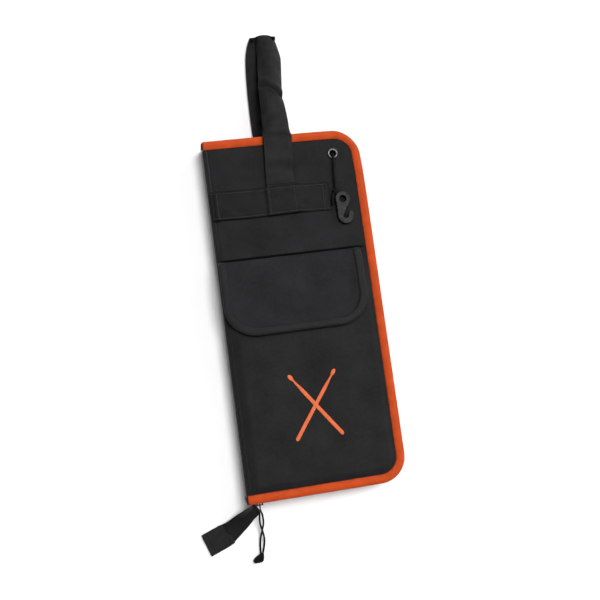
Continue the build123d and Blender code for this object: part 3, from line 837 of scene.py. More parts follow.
def frames_along(points):
    """Sideways directions along a polyline, turned as little as possible from one point to the next."""
    points = [Vector(p) for p in points]
    tangents = []
    for k in range(len(points)):
        ahead = points[min(k + 1, len(points) - 1)] - points[max(k - 1, 0)]
        tangents.append(ahead.normalized())
    side = tangents[0].orthogonal().normalized()
    sides = []
    for tangent in tangents:
        side = (side - tangent * side.dot(tangent)).normalized()
        sides.append(side.copy())
    return points, tangents, sides


def tube(name, points, radius, material, sides=10):
    """A round cord along a polyline."""
    points, tangents, across = frames_along(points)
    vertices, uvs = [], []
    run = 0.0
    for k, (place, tangent, side) in enumerate(zip(points, tangents, across)):
        if k:
            run += (place - points[k - 1]).length
        up = tangent.cross(side)
        for m in range(sides):
            angle = 2 * math.pi * m / sides
            vertices.append(place + (side * math.cos(angle) + up * math.sin(angle)) * radius)
            uvs.append((run, radius * angle))
    return make_object(name, vertices, ring_faces(len(points), sides), material, uvs)


def lathe(name, profile, centre, material, up=1, segments=72):
    """A turned ring round the Z axis from (radius, height) pairs, closed on itself."""
    vertices, uvs = [], []
    for k in range(segments):
        angle = 2 * math.pi * k / segments
        for r, z in profile:
            vertices.append(centre + Vector((r * math.cos(angle), r * math.sin(angle), up * z)))
            uvs.append((r * angle, z))
    return make_object(name, vertices, ring_faces(segments, len(profile), closed=True), material, uvs)


def eyelet(side):
    """Pressed metal eyelet with a rolled rim, and its flat washer inside."""
    face, out = panel_side(side)
    centre = Vector((EYELET.x, EYELET.y, face))
    rim = [(0.0070, 0.0001), (0.0069, 0.0006), (0.0063, 0.0009), (0.0054, 0.0010), (0.0046, 0.0008),
           (0.0040, 0.0002), (0.00378, -0.0008), (0.00376, -0.0050), (0.0043, -0.0050), (0.00435, -0.0008),
           (0.0050, 0.0001)]
    ring = lathe(f"{side}_eyelet_ring", rim, centre, MAT["metal"], out)
    finish_piece(ring, BODY[side], "eyelet_metal", f"{side}_eyelet")
    washer = [(0.0044, 0.0), (0.0044, -0.0005), (0.0050, -0.0007), (0.0062, -0.0007), (0.0069, -0.0004),
              (0.0070, 0.0)]
    plate = lathe(f"{side}_eyelet_plate", washer, centre - Vector((0, 0, out * 0.0045)), MAT["metal"], out)
    finish_piece(plate, BODY[side], "eyelet_metal", f"{side}_eyelet_washer")


def tilted(centre, x, y, z, turn):
    """A point beside a centre, turned about Z."""
    c, s = math.cos(turn), math.sin(turn)
    return centre + Vector((x * c - y * s, x * s + y * c, z))


def knot_points(centre, size, turn, cord, count=110):
    """Points of a tight overhand knot that fills a box of the given size."""
    points = []
    for k in range(count + 1):
        t = 2 * math.pi * k / count
        shape = ((math.sin(t) + 2 * math.sin(2 * t)) / 3, (math.cos(t) - 2 * math.cos(2 * t)) / 3,
                 -math.sin(3 * t))
        points.append(tilted(centre, *(v * (s / 2 - cord) for v, s in zip(shape, size)), turn))
    return points


def knot(name, centre, size, turn, cord, body, *nodes):
    """A pulled-tight knot: the cord's loop round a filled middle."""
    loop = tube(name + "_loop", knot_points(centre, size, turn, cord), cord, MAT["cord"], 10)
    middle = bpy.data.meshes.new(name)
    work = bmesh.new()
    bmesh.ops.create_icosphere(work, subdivisions=3, radius=1)
    for vertex in work.verts:
        squeeze = 1 + 0.16 * noise.noise(vertex.co * 2.3 + centre * 40)
        vertex.co = tilted(centre, *(v * (s * 0.40) * squeeze for v, s in zip(vertex.co, size)), turn)
    work.to_mesh(middle)
    work.free()
    middle.materials.append(MAT["cord"])
    obj = merge(name, [loop, link(name + "_core", middle)])
    return finish_piece(obj, body, "cord", *nodes)


# Webbing

LEG_FRONT_X, LEG_BACK_X = 0.0962, 0.092
BAND_LOW, BAND_HIGH, BAND_RIGHT = 0.363, 0.401, 0.1595
FOLD_AT = 0.537              # height of the crease across the handle's front half
HANDLE_WIDTH = 0.038
HANDLE_ROOT, HANDLE_REACH = 0.474, 0.146     # where the free loop starts, and its height above that


def band_rise(x, t, leg):
    """How far the band stands above the panel at x and at a share t of its width, over the handle's leg."""
    over = 0.0017 * smooth((0.0225 - np.abs(x - leg)) / 0.0030)
    hem = 0.0013 * smooth((0.0122 - x) / 0.0008) + 0.0010 * smooth((x - BAND_RIGHT + 0.0105) / 0.0010)
    edge = -0.0008 * smooth((0.035 - np.minimum(t, 1 - t)) / 0.03)
    ends = -0.0014 * (smooth((0.0036 - x) / 0.0012) + smooth((x - BAND_RIGHT + 0.0012) / 0.0012))
    seams = -0.0005 * (hump(t, 0.075, 0.025) + hump(t, 0.925, 0.025))
    posts = -0.0004 * (hump(x, leg - 0.0168, 0.0010) + hump(x, leg + 0.0168, 0.0010))
    soft = 0.0005 * wrinkles(x, t * 0.038, 0.020, 101.0, 0.3)
    full = 0.0019 + over + hem + edge + ends + seams + posts + soft
    low = 0.0005 + 0.3 * hem
    return full + (low - full) * hook_room(x, BAND_LOW + (BAND_HIGH - BAND_LOW) * t)


def band(side):
    """Webbing sewn across the upper part of a panel, over the handle's leg."""
    front = side == "front"
    out = panel_side(side)[1]
    top = front_top if front else back_top
    plane = THICK if front else 0.0
    leg = LEG_FRONT_X if front else LEG_BACK_X

    def on_band(x, t, lift=0.0):
        y = BAND_LOW + (BAND_HIGH - BAND_LOW) * t + 0.0004 * np.sin(x * 60 + 1.3)
        level = top(x, y) - plane + band_rise(x, t, leg) + lift
        return placed(np.stack([x, y, plane + out * level], axis=1))

    xs = np.concatenate([np.linspace(0.0022, 0.0135, 16), np.linspace(0.0150, BAND_RIGHT - 0.0125, 96),
                         np.linspace(BAND_RIGHT - 0.0115, BAND_RIGHT, 12)])
    grid = [on_band(xs, np.full_like(xs, t)) for t in np.linspace(0, 1, 25)]
    obj = sheet_solid(f"{side}_band", grid, 0.0013, MAT["band"], (0, 0, out))
    finish_piece(obj, BODY[side], "webbing", f"{side}_webbing_band")
    rows = []
    for t in (0.075, 0.925):
        x = np.linspace(0.0042, BAND_RIGHT - 0.0022, 80)
        rows.append(on_band(x, np.full_like(x, t), 0.0002))
    for x in (0.0108, leg - 0.0168, leg + 0.0168, BAND_RIGHT - 0.0085):
        t = np.linspace(0.075, 0.925, 20)
        rows.append(on_band(np.full_like(t, x), t, 0.0002))
    threads = [stitched_path("row", [Vector(p) for p in row], UP * out, MAT["pale_thread"], pitch=0.0032,
                             radius=0.0004) for row in rows]
    finish_piece(merge(f"{side}_band_stitches", threads), BODY[side], "webbing")


# The handle's free halves: x, y, z, twist and share of the full width, from the bag to the top fold and back
HANDLE_TOP = (0.1045, 0.6222, 0.0013, 0.0, 0.86)
HANDLE_UP = [(0.1004, 0.478, 0.0349, 0.0, 0.94), (0.1010, 0.492, 0.0343, 0.03, 0.92),
             (0.1018, 0.508, 0.0326, 0.08, 0.89), (0.1026, 0.524, 0.0299, 0.16, 0.87),
             (0.1038, 0.540, 0.0262, 0.20, 0.865), (0.1051, 0.556, 0.0224, 0.14, 0.863),
             (0.1066, 0.572, 0.0184, 0.08, 0.863), (0.1081, 0.588, 0.0142, 0.04, 0.86),
             (0.1076, 0.602, 0.0106, 0.02, 0.80), (0.1070, 0.613, 0.0074, 0.0, 0.74),
             (0.1056, 0.6195, 0.0043, 0.0, 0.80), HANDLE_TOP]
HANDLE_DOWN = [HANDLE_TOP, (0.1030, 0.6205, -0.0016, 0.0, 0.90), (0.1000, 0.612, -0.0031, 0.0, 0.95),
               (0.0962, 0.594, -0.0034, 0.0, 1.0), (0.0935, 0.567, -0.0033, 0.0, 1.0),
               (0.0920, 0.535, -0.0032, 0.0, 1.0), (0.0915, 0.505, -0.0030, 0.0, 1.0),
               (0.0914, 0.485, -0.0026, 0.0, 1.0), (0.0916, 0.470, -0.0024, 0.0, 1.0),
               (0.0920, 0.440, -0.0028, 0.0, 1.0), (0.0920, 0.402, -0.0028, 0.0, 1.0),
               (0.0920, 0.366, -0.0028, 0.0, 1.0)]


def handle_front():
    """Front half of the handle: sewn under the band, free above the bag, up to the fold at the top."""
    route = []
    for y in (0.366, 0.385, 0.4015, 0.405, 0.411, 0.425, 0.440, 0.455, 0.4665):
        x = LEG_FRONT_X + (0.0998 - LEG_FRONT_X) * smooth((y - 0.395) / 0.08)
        lift = 0.0016 + 0.0014 * hump(y, 0.4065, 0.0042) + 0.0044 * smooth((y - 0.412) / 0.018)
        route.append((x, y, height_at(front_top, x, min(y, 0.455)) + lift, 0.0, 1.0))
    build_handle("handle_front_strip", route + HANDLE_UP, "cover", "webbing", at(0, HANDLE_ROOT, THICK),
                 "handle_front_leg", "handle_loop")


def handle_back():
    """Back half of the handle, from the fold at the top down behind the bag, in the darker band webbing as
    painted shade of the front half's shadow over it.
    """
    build_handle("handle_back_strip", HANDLE_DOWN, "back", "band", at(0, HANDLE_ROOT, 0),
                 "handle_back_leg")


def catmull(rows, steps):
    """Smooth in-between rows of numbers."""
    rows = np.array(rows, float)
    padded = np.vstack([2 * rows[0] - rows[1], rows, 2 * rows[-1] - rows[-2]])
    result = []
    for k in range(1, len(padded) - 2):
        p0, p1, p2, p3 = padded[k - 1:k + 3]
        for m in range(steps):
            t = m / steps
            result.append(0.5 * (2 * p1 + (p2 - p0) * t + (2 * p0 - 5 * p1 + 4 * p2 - p3) * t * t
                                 + (3 * p1 - p0 - 3 * p2 + p3) * t ** 3))
    result.append(rows[-1])
    return result


def build_handle(name, route, body, material, start, *nodes):
    """Webbing along a route."""
    fine = catmull(route, 10)
    stations = []
    for k, (x, y, z, twist, factor) in enumerate(fine):
        before, after = fine[max(k - 1, 0)], fine[min(k + 1, len(fine) - 1)]
        tangent = Vector((0, after[1] - before[1], after[2] - before[2])).normalized()
        across = Vector((1, 0, 0))
        turned = Matrix.Rotation(twist, 3, tangent)
        stations.append((at(x, y, z), turned @ across, turned @ across.cross(tangent), factor))
    grid = []
    for t in np.linspace(-1, 1, 33):
        line = []
        for place, across, normal, factor in stations:
            run = place.y - RIM_LOW.y
            curl = min(0.06 * (1 - factor), 0.008) * abs(t) ** 2.2
            selvedge = -0.00025 * hump(abs(t), 0.86, 0.04)
            wrinkle = 0.0026 * ripple(place.x * 0.5 + place.y * 0.7, place.y, 0.020, 111.0)
            wrinkle *= smooth((run - 0.40) / 0.02) * (1 - 0.85 * t * t)
            slant = run + 0.009 * t
            crease = -0.0034 * hump(slant, FOLD_AT, 0.0038) + 0.0018 * hump(slant, FOLD_AT + 0.008, 0.005)
            lift = selvedge + wrinkle + crease * (body == "cover") - curl
            line.append(place + across * (t * HANDLE_WIDTH / 2 * factor) + normal * lift)
        grid.append(line)
    grid = np.array(grid)
    normals = grid_normals(grid)
    if (normals * np.array([tuple(s[2]) for s in stations])[None, :, :]).sum(axis=2).mean() < 0:
        normals = -normals
    obj = sheet_solid(name, grid, 0.0013, MAT[material], tuple(normals.mean(axis=(0, 1))), normals)
    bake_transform(obj)
    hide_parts(*nodes)


# Outside pocket and its flap


TOUCH_LEFT, TOUCH_RIGHT, TOUCH_LOW, TOUCH_WIDTH = 0.050, 0.150, 0.226, 0.020
POCKET_IN, POCKET_LEFT, POCKET_TOP, HEM_ROW = 0.0095, 0.0040, 0.3018, 0.2900


def touch_strip(name, face, lift, thickness, body, node, lip=0.0):
    """Hook or loop tape across the pocket or the flap, with its rim pressed down by lip."""
    strip = []
    for t in np.linspace(0, 1, 13):
        xs = np.linspace(TOUCH_LEFT, TOUCH_RIGHT, 60)
        ys = np.full_like(xs, TOUCH_LOW + TOUCH_WIDTH * t)
        rim = lip * (np.minimum(xs - TOUCH_LEFT, TOUCH_RIGHT - xs) < 0.0005) + lip * (min(t, 1 - t) < 0.01)
        strip.append(np.stack([xs, ys, face(xs, ys) + lift - rim], axis=1))
    finish_piece(sheet_solid(name, placed(strip), thickness, MAT["touch"]), body, "touch_fastener", node)


def pocket():
    """Cloth face of the outside pocket, with its hem and the rows that sew it down."""
    rows = np.concatenate([np.linspace(POCKET_IN, 0.03, 22), np.linspace(0.0325, 0.2985, 112),
                           [0.3005, POCKET_TOP]])
    grid = []
    for y in rows:
        right = right_limit(y, POCKET_IN)
        xs = POCKET_LEFT + (right - POCKET_LEFT) * (1 - np.cos(np.linspace(0, math.pi, 96))) / 2
        ys = np.full_like(xs, y)
        hem = 0.0005 * smooth((y - 0.2885) / 0.0008) * smooth((right - xs - 0.0028) / 0.003)
        grid.append(np.stack([xs, ys, pocket_top(xs, ys) + hem], axis=1))
    obj = sheet_solid("pocket_cloth", placed(grid), 0.0007, MAT["pocket"])
    finish_piece(obj, "cover", "shell_fabric", "accessory_pocket_face")
    hem_row = [at(x, HEM_ROW, height_at(pocket_top, x, HEM_ROW) + 0.00055)
               for x in np.linspace(0.012, WIDTH - 0.016, 90)]
    side_row = [at(0.0062, y, height_at(pocket_top, 0.0062, y) + 0.0002)
                for y in np.linspace(0.012, 0.300, 120)]
    rows = [stitched_path("row", points, UP, MAT["thread"]) for points in (hem_row, side_row)]
    finish_piece(merge("pocket_stitches", rows), "cover", "shell_fabric")
    touch_strip("pocket_loop_tape", pocket_top, 0.0007, 0.0006, "cover", "pocket_loop_strip", lip=0.0003)


def flap_limits(y):
    """Left and right ends of a row of the flap."""
    if y > FLAP_LOW + FLAP_CORNER:
        return FLAP_LEFT, FLAP_RIGHT
    reach = math.sqrt(max(FLAP_CORNER ** 2 - (FLAP_LOW + FLAP_CORNER - y) ** 2, 0))
    return FLAP_LEFT + FLAP_CORNER - reach, FLAP_RIGHT - FLAP_CORNER + reach


def flap():
    """The flap's cloth from its sewn root under the fold to its lower edge, its binding and its fastener."""
    rows = np.concatenate([FLAP_LOW + 0.0006 + FLAP_CORNER * (1 - np.cos(np.linspace(0, math.pi / 2, 26))),
                           np.linspace(FLAP_LOW + 0.0445, 0.2975, 24), np.linspace(0.2985, 0.3100, 20),
                           [0.3110, 0.3128, 0.3150]])
    grid = []
    for y in rows:
        left, right = flap_limits(y)
        xs = left + 0.0004 + (right - left - 0.0008) * np.linspace(0, 1, 96)
        ys = np.full_like(xs, y)
        zs = np.full_like(xs, THICK + 0.0002) if y > CREASE - 0.0002 else flap_top(xs, ys)
        grid.append(np.stack([xs, ys, zs], axis=1))
    obj = sheet_solid("flap_cloth", placed(grid), 0.0009, MAT["flap"])
    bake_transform(obj)
    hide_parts("pocket_flap", "flap_seam_strip")
    flap_edge()


def flap_path(inset, step=0.0022):
    """Points round the flap's bound edge with their outward directions, from its left top to its right."""
    radius = FLAP_CORNER - inset
    left, right, low = FLAP_LEFT + inset, FLAP_RIGHT - inset, FLAP_LOW + inset
    root = [CREASE - drop for drop in (0.0007, 0.0010, 0.0015, 0.0023, 0.0036)]

    def corner(x, start):
        angles = [math.radians(start + 90 * k / 26) for k in range(26)]
        return [((x + radius * math.cos(a), low + radius + radius * math.sin(a)), (math.cos(a), math.sin(a)))
                for a in angles]

    marks = [((left, y), (-1, 0)) for y in [*root, *np.arange(0.3050, low + radius, -step)]]
    marks += corner(left + radius, 180)
    marks += [((x, low), (0, -1)) for x in np.arange(left + radius, right - radius, step)]
    marks += corner(right - radius, 270)
    marks += [((right, y), (1, 0)) for y in [*np.arange(low + radius, 0.3055, step), *reversed(root)]]
    return marks


def flap_edge():
    """Black ribbed tape folded round the flap's edge, its stitches, and the hook strip underneath."""
    width = 0.0098
    skin = [(width, 0.0002), (width - 0.0002, 0.00085), (width - 0.0018, 0.00105), (0.0050, 0.0014),
            (0.0016, 0.0013), (0.0002, 0.0006), (-0.0004, -0.0006), (0.0002, -0.0017), (0.0020, -0.0020),
            (width - 0.001, -0.0018), (width - 0.001, -0.0011), (0.0020, -0.0012), (0.0007, -0.0006),
            (0.0014, 0.0002)]
    stations = []
    for (x, y), (nx, ny) in flap_path(0.0):
        level = height_at(flap_top, x - nx * 0.006, y - ny * 0.006)
        stations.append((at(x, y, level), Vector((-nx, -ny, 0)), UP))

    def pucker(place, a, b):
        wave = ripple(place.x, place.y, 0.007, 31.0) * 0.00022 + ripple(place.x, place.y, 0.03, 33.0) * 0.0003
        return a + wave * smooth((a - 0.004) / 0.005), b + wave * 0.6

    tape = sweep("flap_edge_tape", stations, skin, MAT["black_bind"], vary=pucker)
    finish_piece(tape, "flap", "black_binding", "flap_binding")
    path = [at(x, y, height_at(flap_top, x, y) + 0.00115) for (x, y), _ in flap_path(width - 0.0018)]
    thread = stitched_path("flap_edge_stitches", path, UP, MAT["thread"])
    finish_piece(thread, "flap", "black_binding")
    touch_strip("flap_hook_tape", flap_top, -0.0010, 0.0005, "flap", "flap_hook_strip")


MOTIF_PLACE, MOTIF_LENGTH, MOTIF_TURN = (0.102, 0.1125), 0.104, math.radians(36)
STICK_R = 0.0024             # drawn stick's half width


def stick_half_width(u):
    """Half the width of a drum stick's drawing, u from 0 at the butt to 1 at the tip."""
    if u < 0.03:
        return STICK_R * math.sqrt(max(1 - ((0.03 - u) / 0.03) ** 2, 0.05))
    if u < 0.72:
        return STICK_R
    if u < 0.91:
        return STICK_R - 0.0013 * smooth((u - 0.72) / 0.19)
    bead = (u - 0.955) / 0.045
    return max(0.0011 if u < 0.93 else 0.0, 0.0026 * math.sqrt(max(1 - bead ** 2, 0.0)), 0.0003)


def motif():
    """Generic print: two crossed drum sticks, a thin layer of ink that follows the pocket's cloth."""
    parts = []
    for sign in (1, -1):
        dx, dy = math.sin(MOTIF_TURN) * sign, math.cos(MOTIF_TURN)
        grid = []
        for t in np.linspace(-1, 1, 7):
            us = np.linspace(0, 1, 110)
            run = (us - 0.5) * MOTIF_LENGTH
            side = t * np.array([stick_half_width(u) for u in us])
            xs, ys = MOTIF_PLACE[0] + dx * run + dy * side, MOTIF_PLACE[1] + dy * run - dx * side
            grid.append(np.stack([xs, ys, pocket_top(xs, ys) + 0.00022], axis=1))
        parts.append(sheet_solid("stick", placed(grid), 0.0002, MAT["print"]))
    finish_piece(merge("crossed_sticks_print", parts), "cover", "print_ink", "printed_motif")


# Inside

PANEL = 0.0045               # a panel's thickness
STICK_IN, STICK_LEFT, STICK_TOP, STICK_FACE, DIVIDER = 0.009, 0.010, 0.300, 0.0209, 0.1044


def lining_cloth(side):
    """Smooth lining of one panel, carried round the inner corner to the middle of the spine."""
    front = side == "front"
    sign = -1 if front else 1
    plane = THICK - PANEL if front else PANEL
    bend = 0.0032
    grid = []
    for y in np.linspace(0.0019, HEIGHT - 0.0019, 130):
        line = [(PANEL + 0.0003, y, z) for z in np.linspace(THICK / 2, plane + sign * bend, 8)[:-1]]
        for angle in np.linspace(0, math.pi / 2, 6):
            z = plane + sign * bend * (1 - math.sin(angle))
            line.append((PANEL + bend - bend * math.cos(angle), y, z))
        right = right_limit(y, 0.0021)
        xs = PANEL + bend + (right - PANEL - bend) * np.linspace(0, 1, 66)[1:]
        ys = np.full_like(xs, y)
        puff = (0.0007 + 0.0007 * wrinkles(xs, ys, 0.04, 61.0 if front else 67.0, 0.8)
                + 0.00025 * wrinkles(xs, ys, 0.012, 64.0, 0.2))
        puff = puff * smooth((inset_of(xs, ys) - 0.008) / 0.012) * smooth((xs - 0.009) / 0.01)
        line += list(zip(xs, ys, plane + sign * (0.0002 + puff)))
        grid.append(line)
    grid = spread(placed(grid), side)
    obj = sheet_solid(f"{side}_lining_cloth", grid, 0.0005, MAT["lining"], (0, 0, sign), hole=EYELET_HOLE)
    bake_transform(obj)
    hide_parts(*(["front_lining", "spine_lining"] if front else ["back_lining"]))


def spine_ends():
    """Short tape folded over the spine's raw edge at the top and at the bottom."""
    skin = [(-0.0006, -0.0072), (-0.0006, -0.003), (-0.0004, -0.0002), (0.0006, 0.0004), (0.0044, 0.0004),
            (0.0056, -0.0002), (0.0059, -0.003), (0.0056, -0.0072), (0.0049, -0.0072), (0.0052, -0.003),
            (0.0044, -0.0004), (0.0008, -0.0004), (-0.0001, -0.003), (0.0, -0.0072)]
    parts = []
    for edge, sign in ((HEIGHT, 1), (0.0, -1)):
        stations = [(at(0, edge, z), Vector((1, 0, 0)), Vector((0, sign, 0)))
                    for z in np.linspace(0.0056, THICK - 0.0056, 12)]
        parts.append(sweep("end", stations, skin, MAT["black_bind"]))
    finish_piece(merge("spine_end_tapes", parts), "spine", "shell_fabric")


def stick_surface(x, y):
    """Outer face of the inside stick pocket."""
    inset = np.minimum(inset_of(x, y) - STICK_IN, x - STICK_LEFT)
    wall = np.sqrt(np.clip(1 - (1 - np.clip(inset / 0.0065, 0, 1)) ** 2, 0, 1))
    seam = -0.0020 * hump(x, DIVIDER, 0.0035)
    soft = 0.0006 * wrinkles(x, y, 0.05, 81.0, 1.4) + 0.0003 * wrinkles(x, y, 0.018, 84.0, 1.5)
    rise = (STICK_FACE - PANEL - 0.0012) * wall
    return PANEL + 0.0005 + rise + seam * smooth(inset / 0.02) + soft * smooth(inset / 0.012)


def stick_pocket():
    """Soft two-part pocket for the sticks."""
    rows = np.concatenate([np.linspace(STICK_IN + 0.0002, 0.018, 16), np.linspace(0.0205, STICK_TOP, 100)])
    grid = []
    for y in rows:
        left, right = STICK_LEFT + 0.0002, right_limit(y, STICK_IN + 0.0002)
        xs = left + (right - left) * (1 - np.cos(np.linspace(0, math.pi, 104))) / 2
        ys = np.full_like(xs, y)
        grid.append(np.stack([xs, ys, stick_surface(xs, ys)], axis=1))
    face = sheet_solid("stick_pocket_cloth", placed(grid), 0.0008, MAT["lining"])
    finish_piece(face, "back", "lining", "stick_pocket_face")
    stick_divider()
    stick_mouth()


def stick_divider():
    """Cloth wall between the pocket's two parts."""
    wall = []
    for t in np.linspace(0, 1, 14):
        ys = np.linspace(STICK_IN + 0.004, STICK_TOP - 0.002, 90)
        top = stick_surface(np.full_like(ys, DIVIDER), ys) - 0.0009
        sway = 0.0010 * math.sin(math.pi * t) * wrinkles(ys, ys * 0 + t * 0.01, 0.05, 91.0)
        wall.append(np.stack([DIVIDER + sway, ys, PANEL + (top - PANEL) * t], axis=1))
    divider = sheet_solid("stick_divider_cloth", placed(wall), 0.0008, MAT["lining"], (1, 0, 0))
    finish_piece(divider, "back", "lining", "stick_pocket_divider")


def stick_mouth():
    """Tape folded over the pocket's mouth, its stitches and the stitches along the divider."""
    skin = [(-0.0080, 0.0001), (-0.0078, 0.0008), (-0.004, 0.0009), (-0.0004, 0.0009), (0.0009, 0.0002),
            (0.0009, -0.0012), (-0.0004, -0.0019), (-0.004, -0.0018), (-0.0078, -0.0017), (-0.0080, -0.0010),
            (-0.004, -0.0011), (-0.0002, -0.0010), (0.0001, -0.0004), (-0.0002, 0.0002)]
    xs = np.linspace(STICK_LEFT + 0.0006, WIDTH - STICK_IN - 0.0006, 150)
    levels = stick_surface(xs, np.full_like(xs, STICK_TOP - 0.002))
    stations = [(at(x, STICK_TOP, z), Vector((0, 1, 0)), UP) for x, z in zip(xs, levels)]
    tape = sweep("stick_pocket_mouth_tape", stations, skin, MAT["black_bind"])
    finish_piece(tape, "back", "black_binding", "stick_pocket_binding")
    rows = [[at(x, STICK_TOP - 0.0062, z + 0.0009) for x, z in zip(xs, levels)]]
    ys = np.linspace(0.030, STICK_TOP - 0.010, 150)
    seam = stick_surface(np.full_like(ys, DIVIDER), ys)
    rows.append([at(DIVIDER, y, z + 0.0001) for y, z in zip(ys, seam)])
    threads = [stitched_path("row", row, UP, MAT["thread"]) for row in rows]
    finish_piece(merge("stick_pocket_stitches", threads), "back", "lining")


# Zip tail, slider and hooks

TAIL_UPPER = [(0.0085, -0.0016, 0.0285), (0.0040, -0.0030, 0.0270), (-0.0020, -0.0058, 0.0215),
              (-0.0110, -0.0115, 0.0130), (-0.0205, -0.0176, 0.0050), (-0.0338, -0.0256, -0.0026)]
TAIL_LOWER = [(0.0085, -0.0016, 0.0035), (0.0125, -0.0085, 0.0030), (0.0160, -0.0158, 0.0025),
              (0.0065, -0.0246, 0.0004), (-0.0060, -0.0362, -0.0012), (-0.0222, -0.0500, -0.0028)]
TAB_CENTRE, TAB_SIZE, TAB_TURN = (-0.0413, -0.0427, -0.0030), (0.034, 0.030, 0.0032), math.radians(20)


def tail_frames():
    """Places, tape directions, outward directions and half widths along the zip's free end."""
    upper, lower = (catmull(edge, 10) for edge in (TAIL_UPPER, TAIL_LOWER))
    middles = [(Vector(a) + Vector(b)) / 2 for a, b in zip(upper, lower)]
    frames = []
    for k, (a, b) in enumerate(zip(upper, lower)):
        heading = (middles[min(k + 1, len(middles) - 1)] - middles[max(k - 1, 0)]).normalized()
        across = Vector(a) - Vector(b)
        half = across.length / 2
        across.normalize()
        frames.append((at(*middles[k]), across, heading.cross(across).normalized(), half))
    return frames


def tail_ridge(k):
    """Share of the fold along the zip's middle at a station: none inside the bag or inside the tab."""
    return smooth(k / 12) * smooth((50 - k) / 10)


def zip_tail():
    """Closed end of the zip: both tapes and the meshed coil, twisting from upright to flat."""
    frames = tail_frames()
    grid = []
    for t in np.linspace(-1, 1, 19):
        line = []
        for k, (place, across, normal, half) in enumerate(frames):
            ridge = (0.0030 * (1 - abs(t)) + 0.0003 * math.sin(k * 0.35 + t * 2)) * tail_ridge(k)
            line.append(place + across * (t * half) + normal * ridge)
        grid.append(line)
    normals = np.array([[tuple(f[2]) for f in frames]] * 19)
    outward = tuple(normals.mean(axis=(0, 1)))
    tape = sheet_solid("zip_tail_cloth", np.array(grid), 0.0009, MAT["tape"], outward, normals)
    finish_piece(tape, "back", "zip_tape", "zip_tail_tape")
    path = [f[0] for f in frames]
    lengths = [0.0]
    for a, b in zip(path, path[1:]):
        lengths.append(lengths[-1] + (b - a).length)
    points = []
    for step in range(int(lengths[-1] / COIL_PITCH) * COIL_STEPS):
        run = step / COIL_STEPS * COIL_PITCH
        k = max(i for i in range(len(lengths)) if lengths[i] <= run + 1e-9)
        k = min(k, len(frames) - 2)
        share = (run - lengths[k]) / max(lengths[k + 1] - lengths[k], 1e-9)
        place = path[k].lerp(path[k + 1], share)
        _, across, normal, _ = frames[k]
        angle = 2 * math.pi * step / COIL_STEPS
        rise = 0.0004 + 0.0030 * tail_ridge(k) + 0.0005 * math.sin(angle)
        points.append(place + across * (0.0022 * math.cos(angle)) + normal * rise)
    teeth = tube("zip_tail_teeth", points, 0.0003, MAT["coil"], sides=5)
    finish_piece(teeth, "back", "zip_coil")


def end_tab():
    """Folded cloth tab sewn round the end of the zip, with its fold, hem and stitches."""
    length, width, thick = TAB_SIZE
    c, s = math.cos(TAB_TURN), math.sin(TAB_TURN)

    def spot(u, v, z):
        return at(TAB_CENTRE[0] + u * c - v * s, TAB_CENTRE[1] + u * s + v * c, TAB_CENTRE[2] + z)

    def level(u, v):
        edge = min(width / 2 - abs(v), 0.004) / 0.004
        rounding = math.sqrt(max(1 - (1 - edge) ** 2, 0.0))
        wave = 0.0008 * ripple(u, v, 0.010, 51.0) + 0.0003 * ripple(u, v, 0.004, 52.0)
        hem = -0.0006 * hump(u, -0.0105, 0.0008) - 0.0004 * hump(u, 0.0120, 0.0008)
        crease = 0.0011 * hump(v, 0.25 * u + 0.002, 0.0013) * smooth((u + 0.008) / 0.01)
        return (thick / 2 - 0.0003) * (0.45 + 0.55 * rounding) + wave + hem - crease

    rows = []
    count, size = 30, 44         # points round the tab and along it
    ring_u = np.linspace(-length / 2, length / 2, size)
    for k in range(count):
        share = k / count
        row = []
        for u in ring_u:
            tuck = 1 - 0.05 * smooth((u - 0.006) / 0.010)
            if share < 0.5:
                v = (share * 4 - 1) * width / 2 * tuck
                row.append(spot(u, v, level(u, v)))
            else:
                v = (1 - (share - 0.5) * 4) * width / 2 * tuck
                row.append(spot(u, v, -(thick / 2) * 0.85 + 0.0004 * abs(v) / width))
        rows.append(row)
    vertices = [p for row in rows for p in row]
    uvs = [(u, k / count * 2 * width) for k in range(count) for u in ring_u]
    faces = []
    for k in range(count):
        for i in range(size - 1):
            a, b = k * size + i, (k + 1) % count * size + i
            faces.append((a, a + 1, b + 1, b))
    faces.append(tuple(k * size for k in range(count)))
    faces.append(tuple(k * size + size - 1 for k in range(count))[::-1])
    obj = make_object("end_tab_cloth", vertices, faces, MAT["tab"], uvs)
    finish_piece(obj, "back", "black_binding", "zip_end_tab")
    threads = []
    for u in (-0.0088, 0.0136):
        vs = np.linspace(-width / 2 + 0.002, width / 2 - 0.002, 24)
        row = [spot(u, v, level(u, v) + 0.0001) for v in vs]
        threads.append(stitched_path("row", row, UP, MAT["thread"], pitch=0.003))
    finish_piece(merge("end_tab_stitches", threads), "back", "black_binding")


def bevelled(name, material, width, segments=3):
    """A CAD part that keeps its shape, with softened edges and its own material."""
    obj = NODES[name]
    modifier = obj.modifiers.new("soft_edges", "BEVEL")
    modifier.width = width
    modifier.segments = segments
    modifier.limit_method = "ANGLE"
    modifier.angle_limit = math.radians(35)
    modifier.harden_normals = False
    obj.data.materials.clear()
    obj.data.materials.append(material)
    for polygon in obj.data.polygons:
        polygon.use_smooth = True


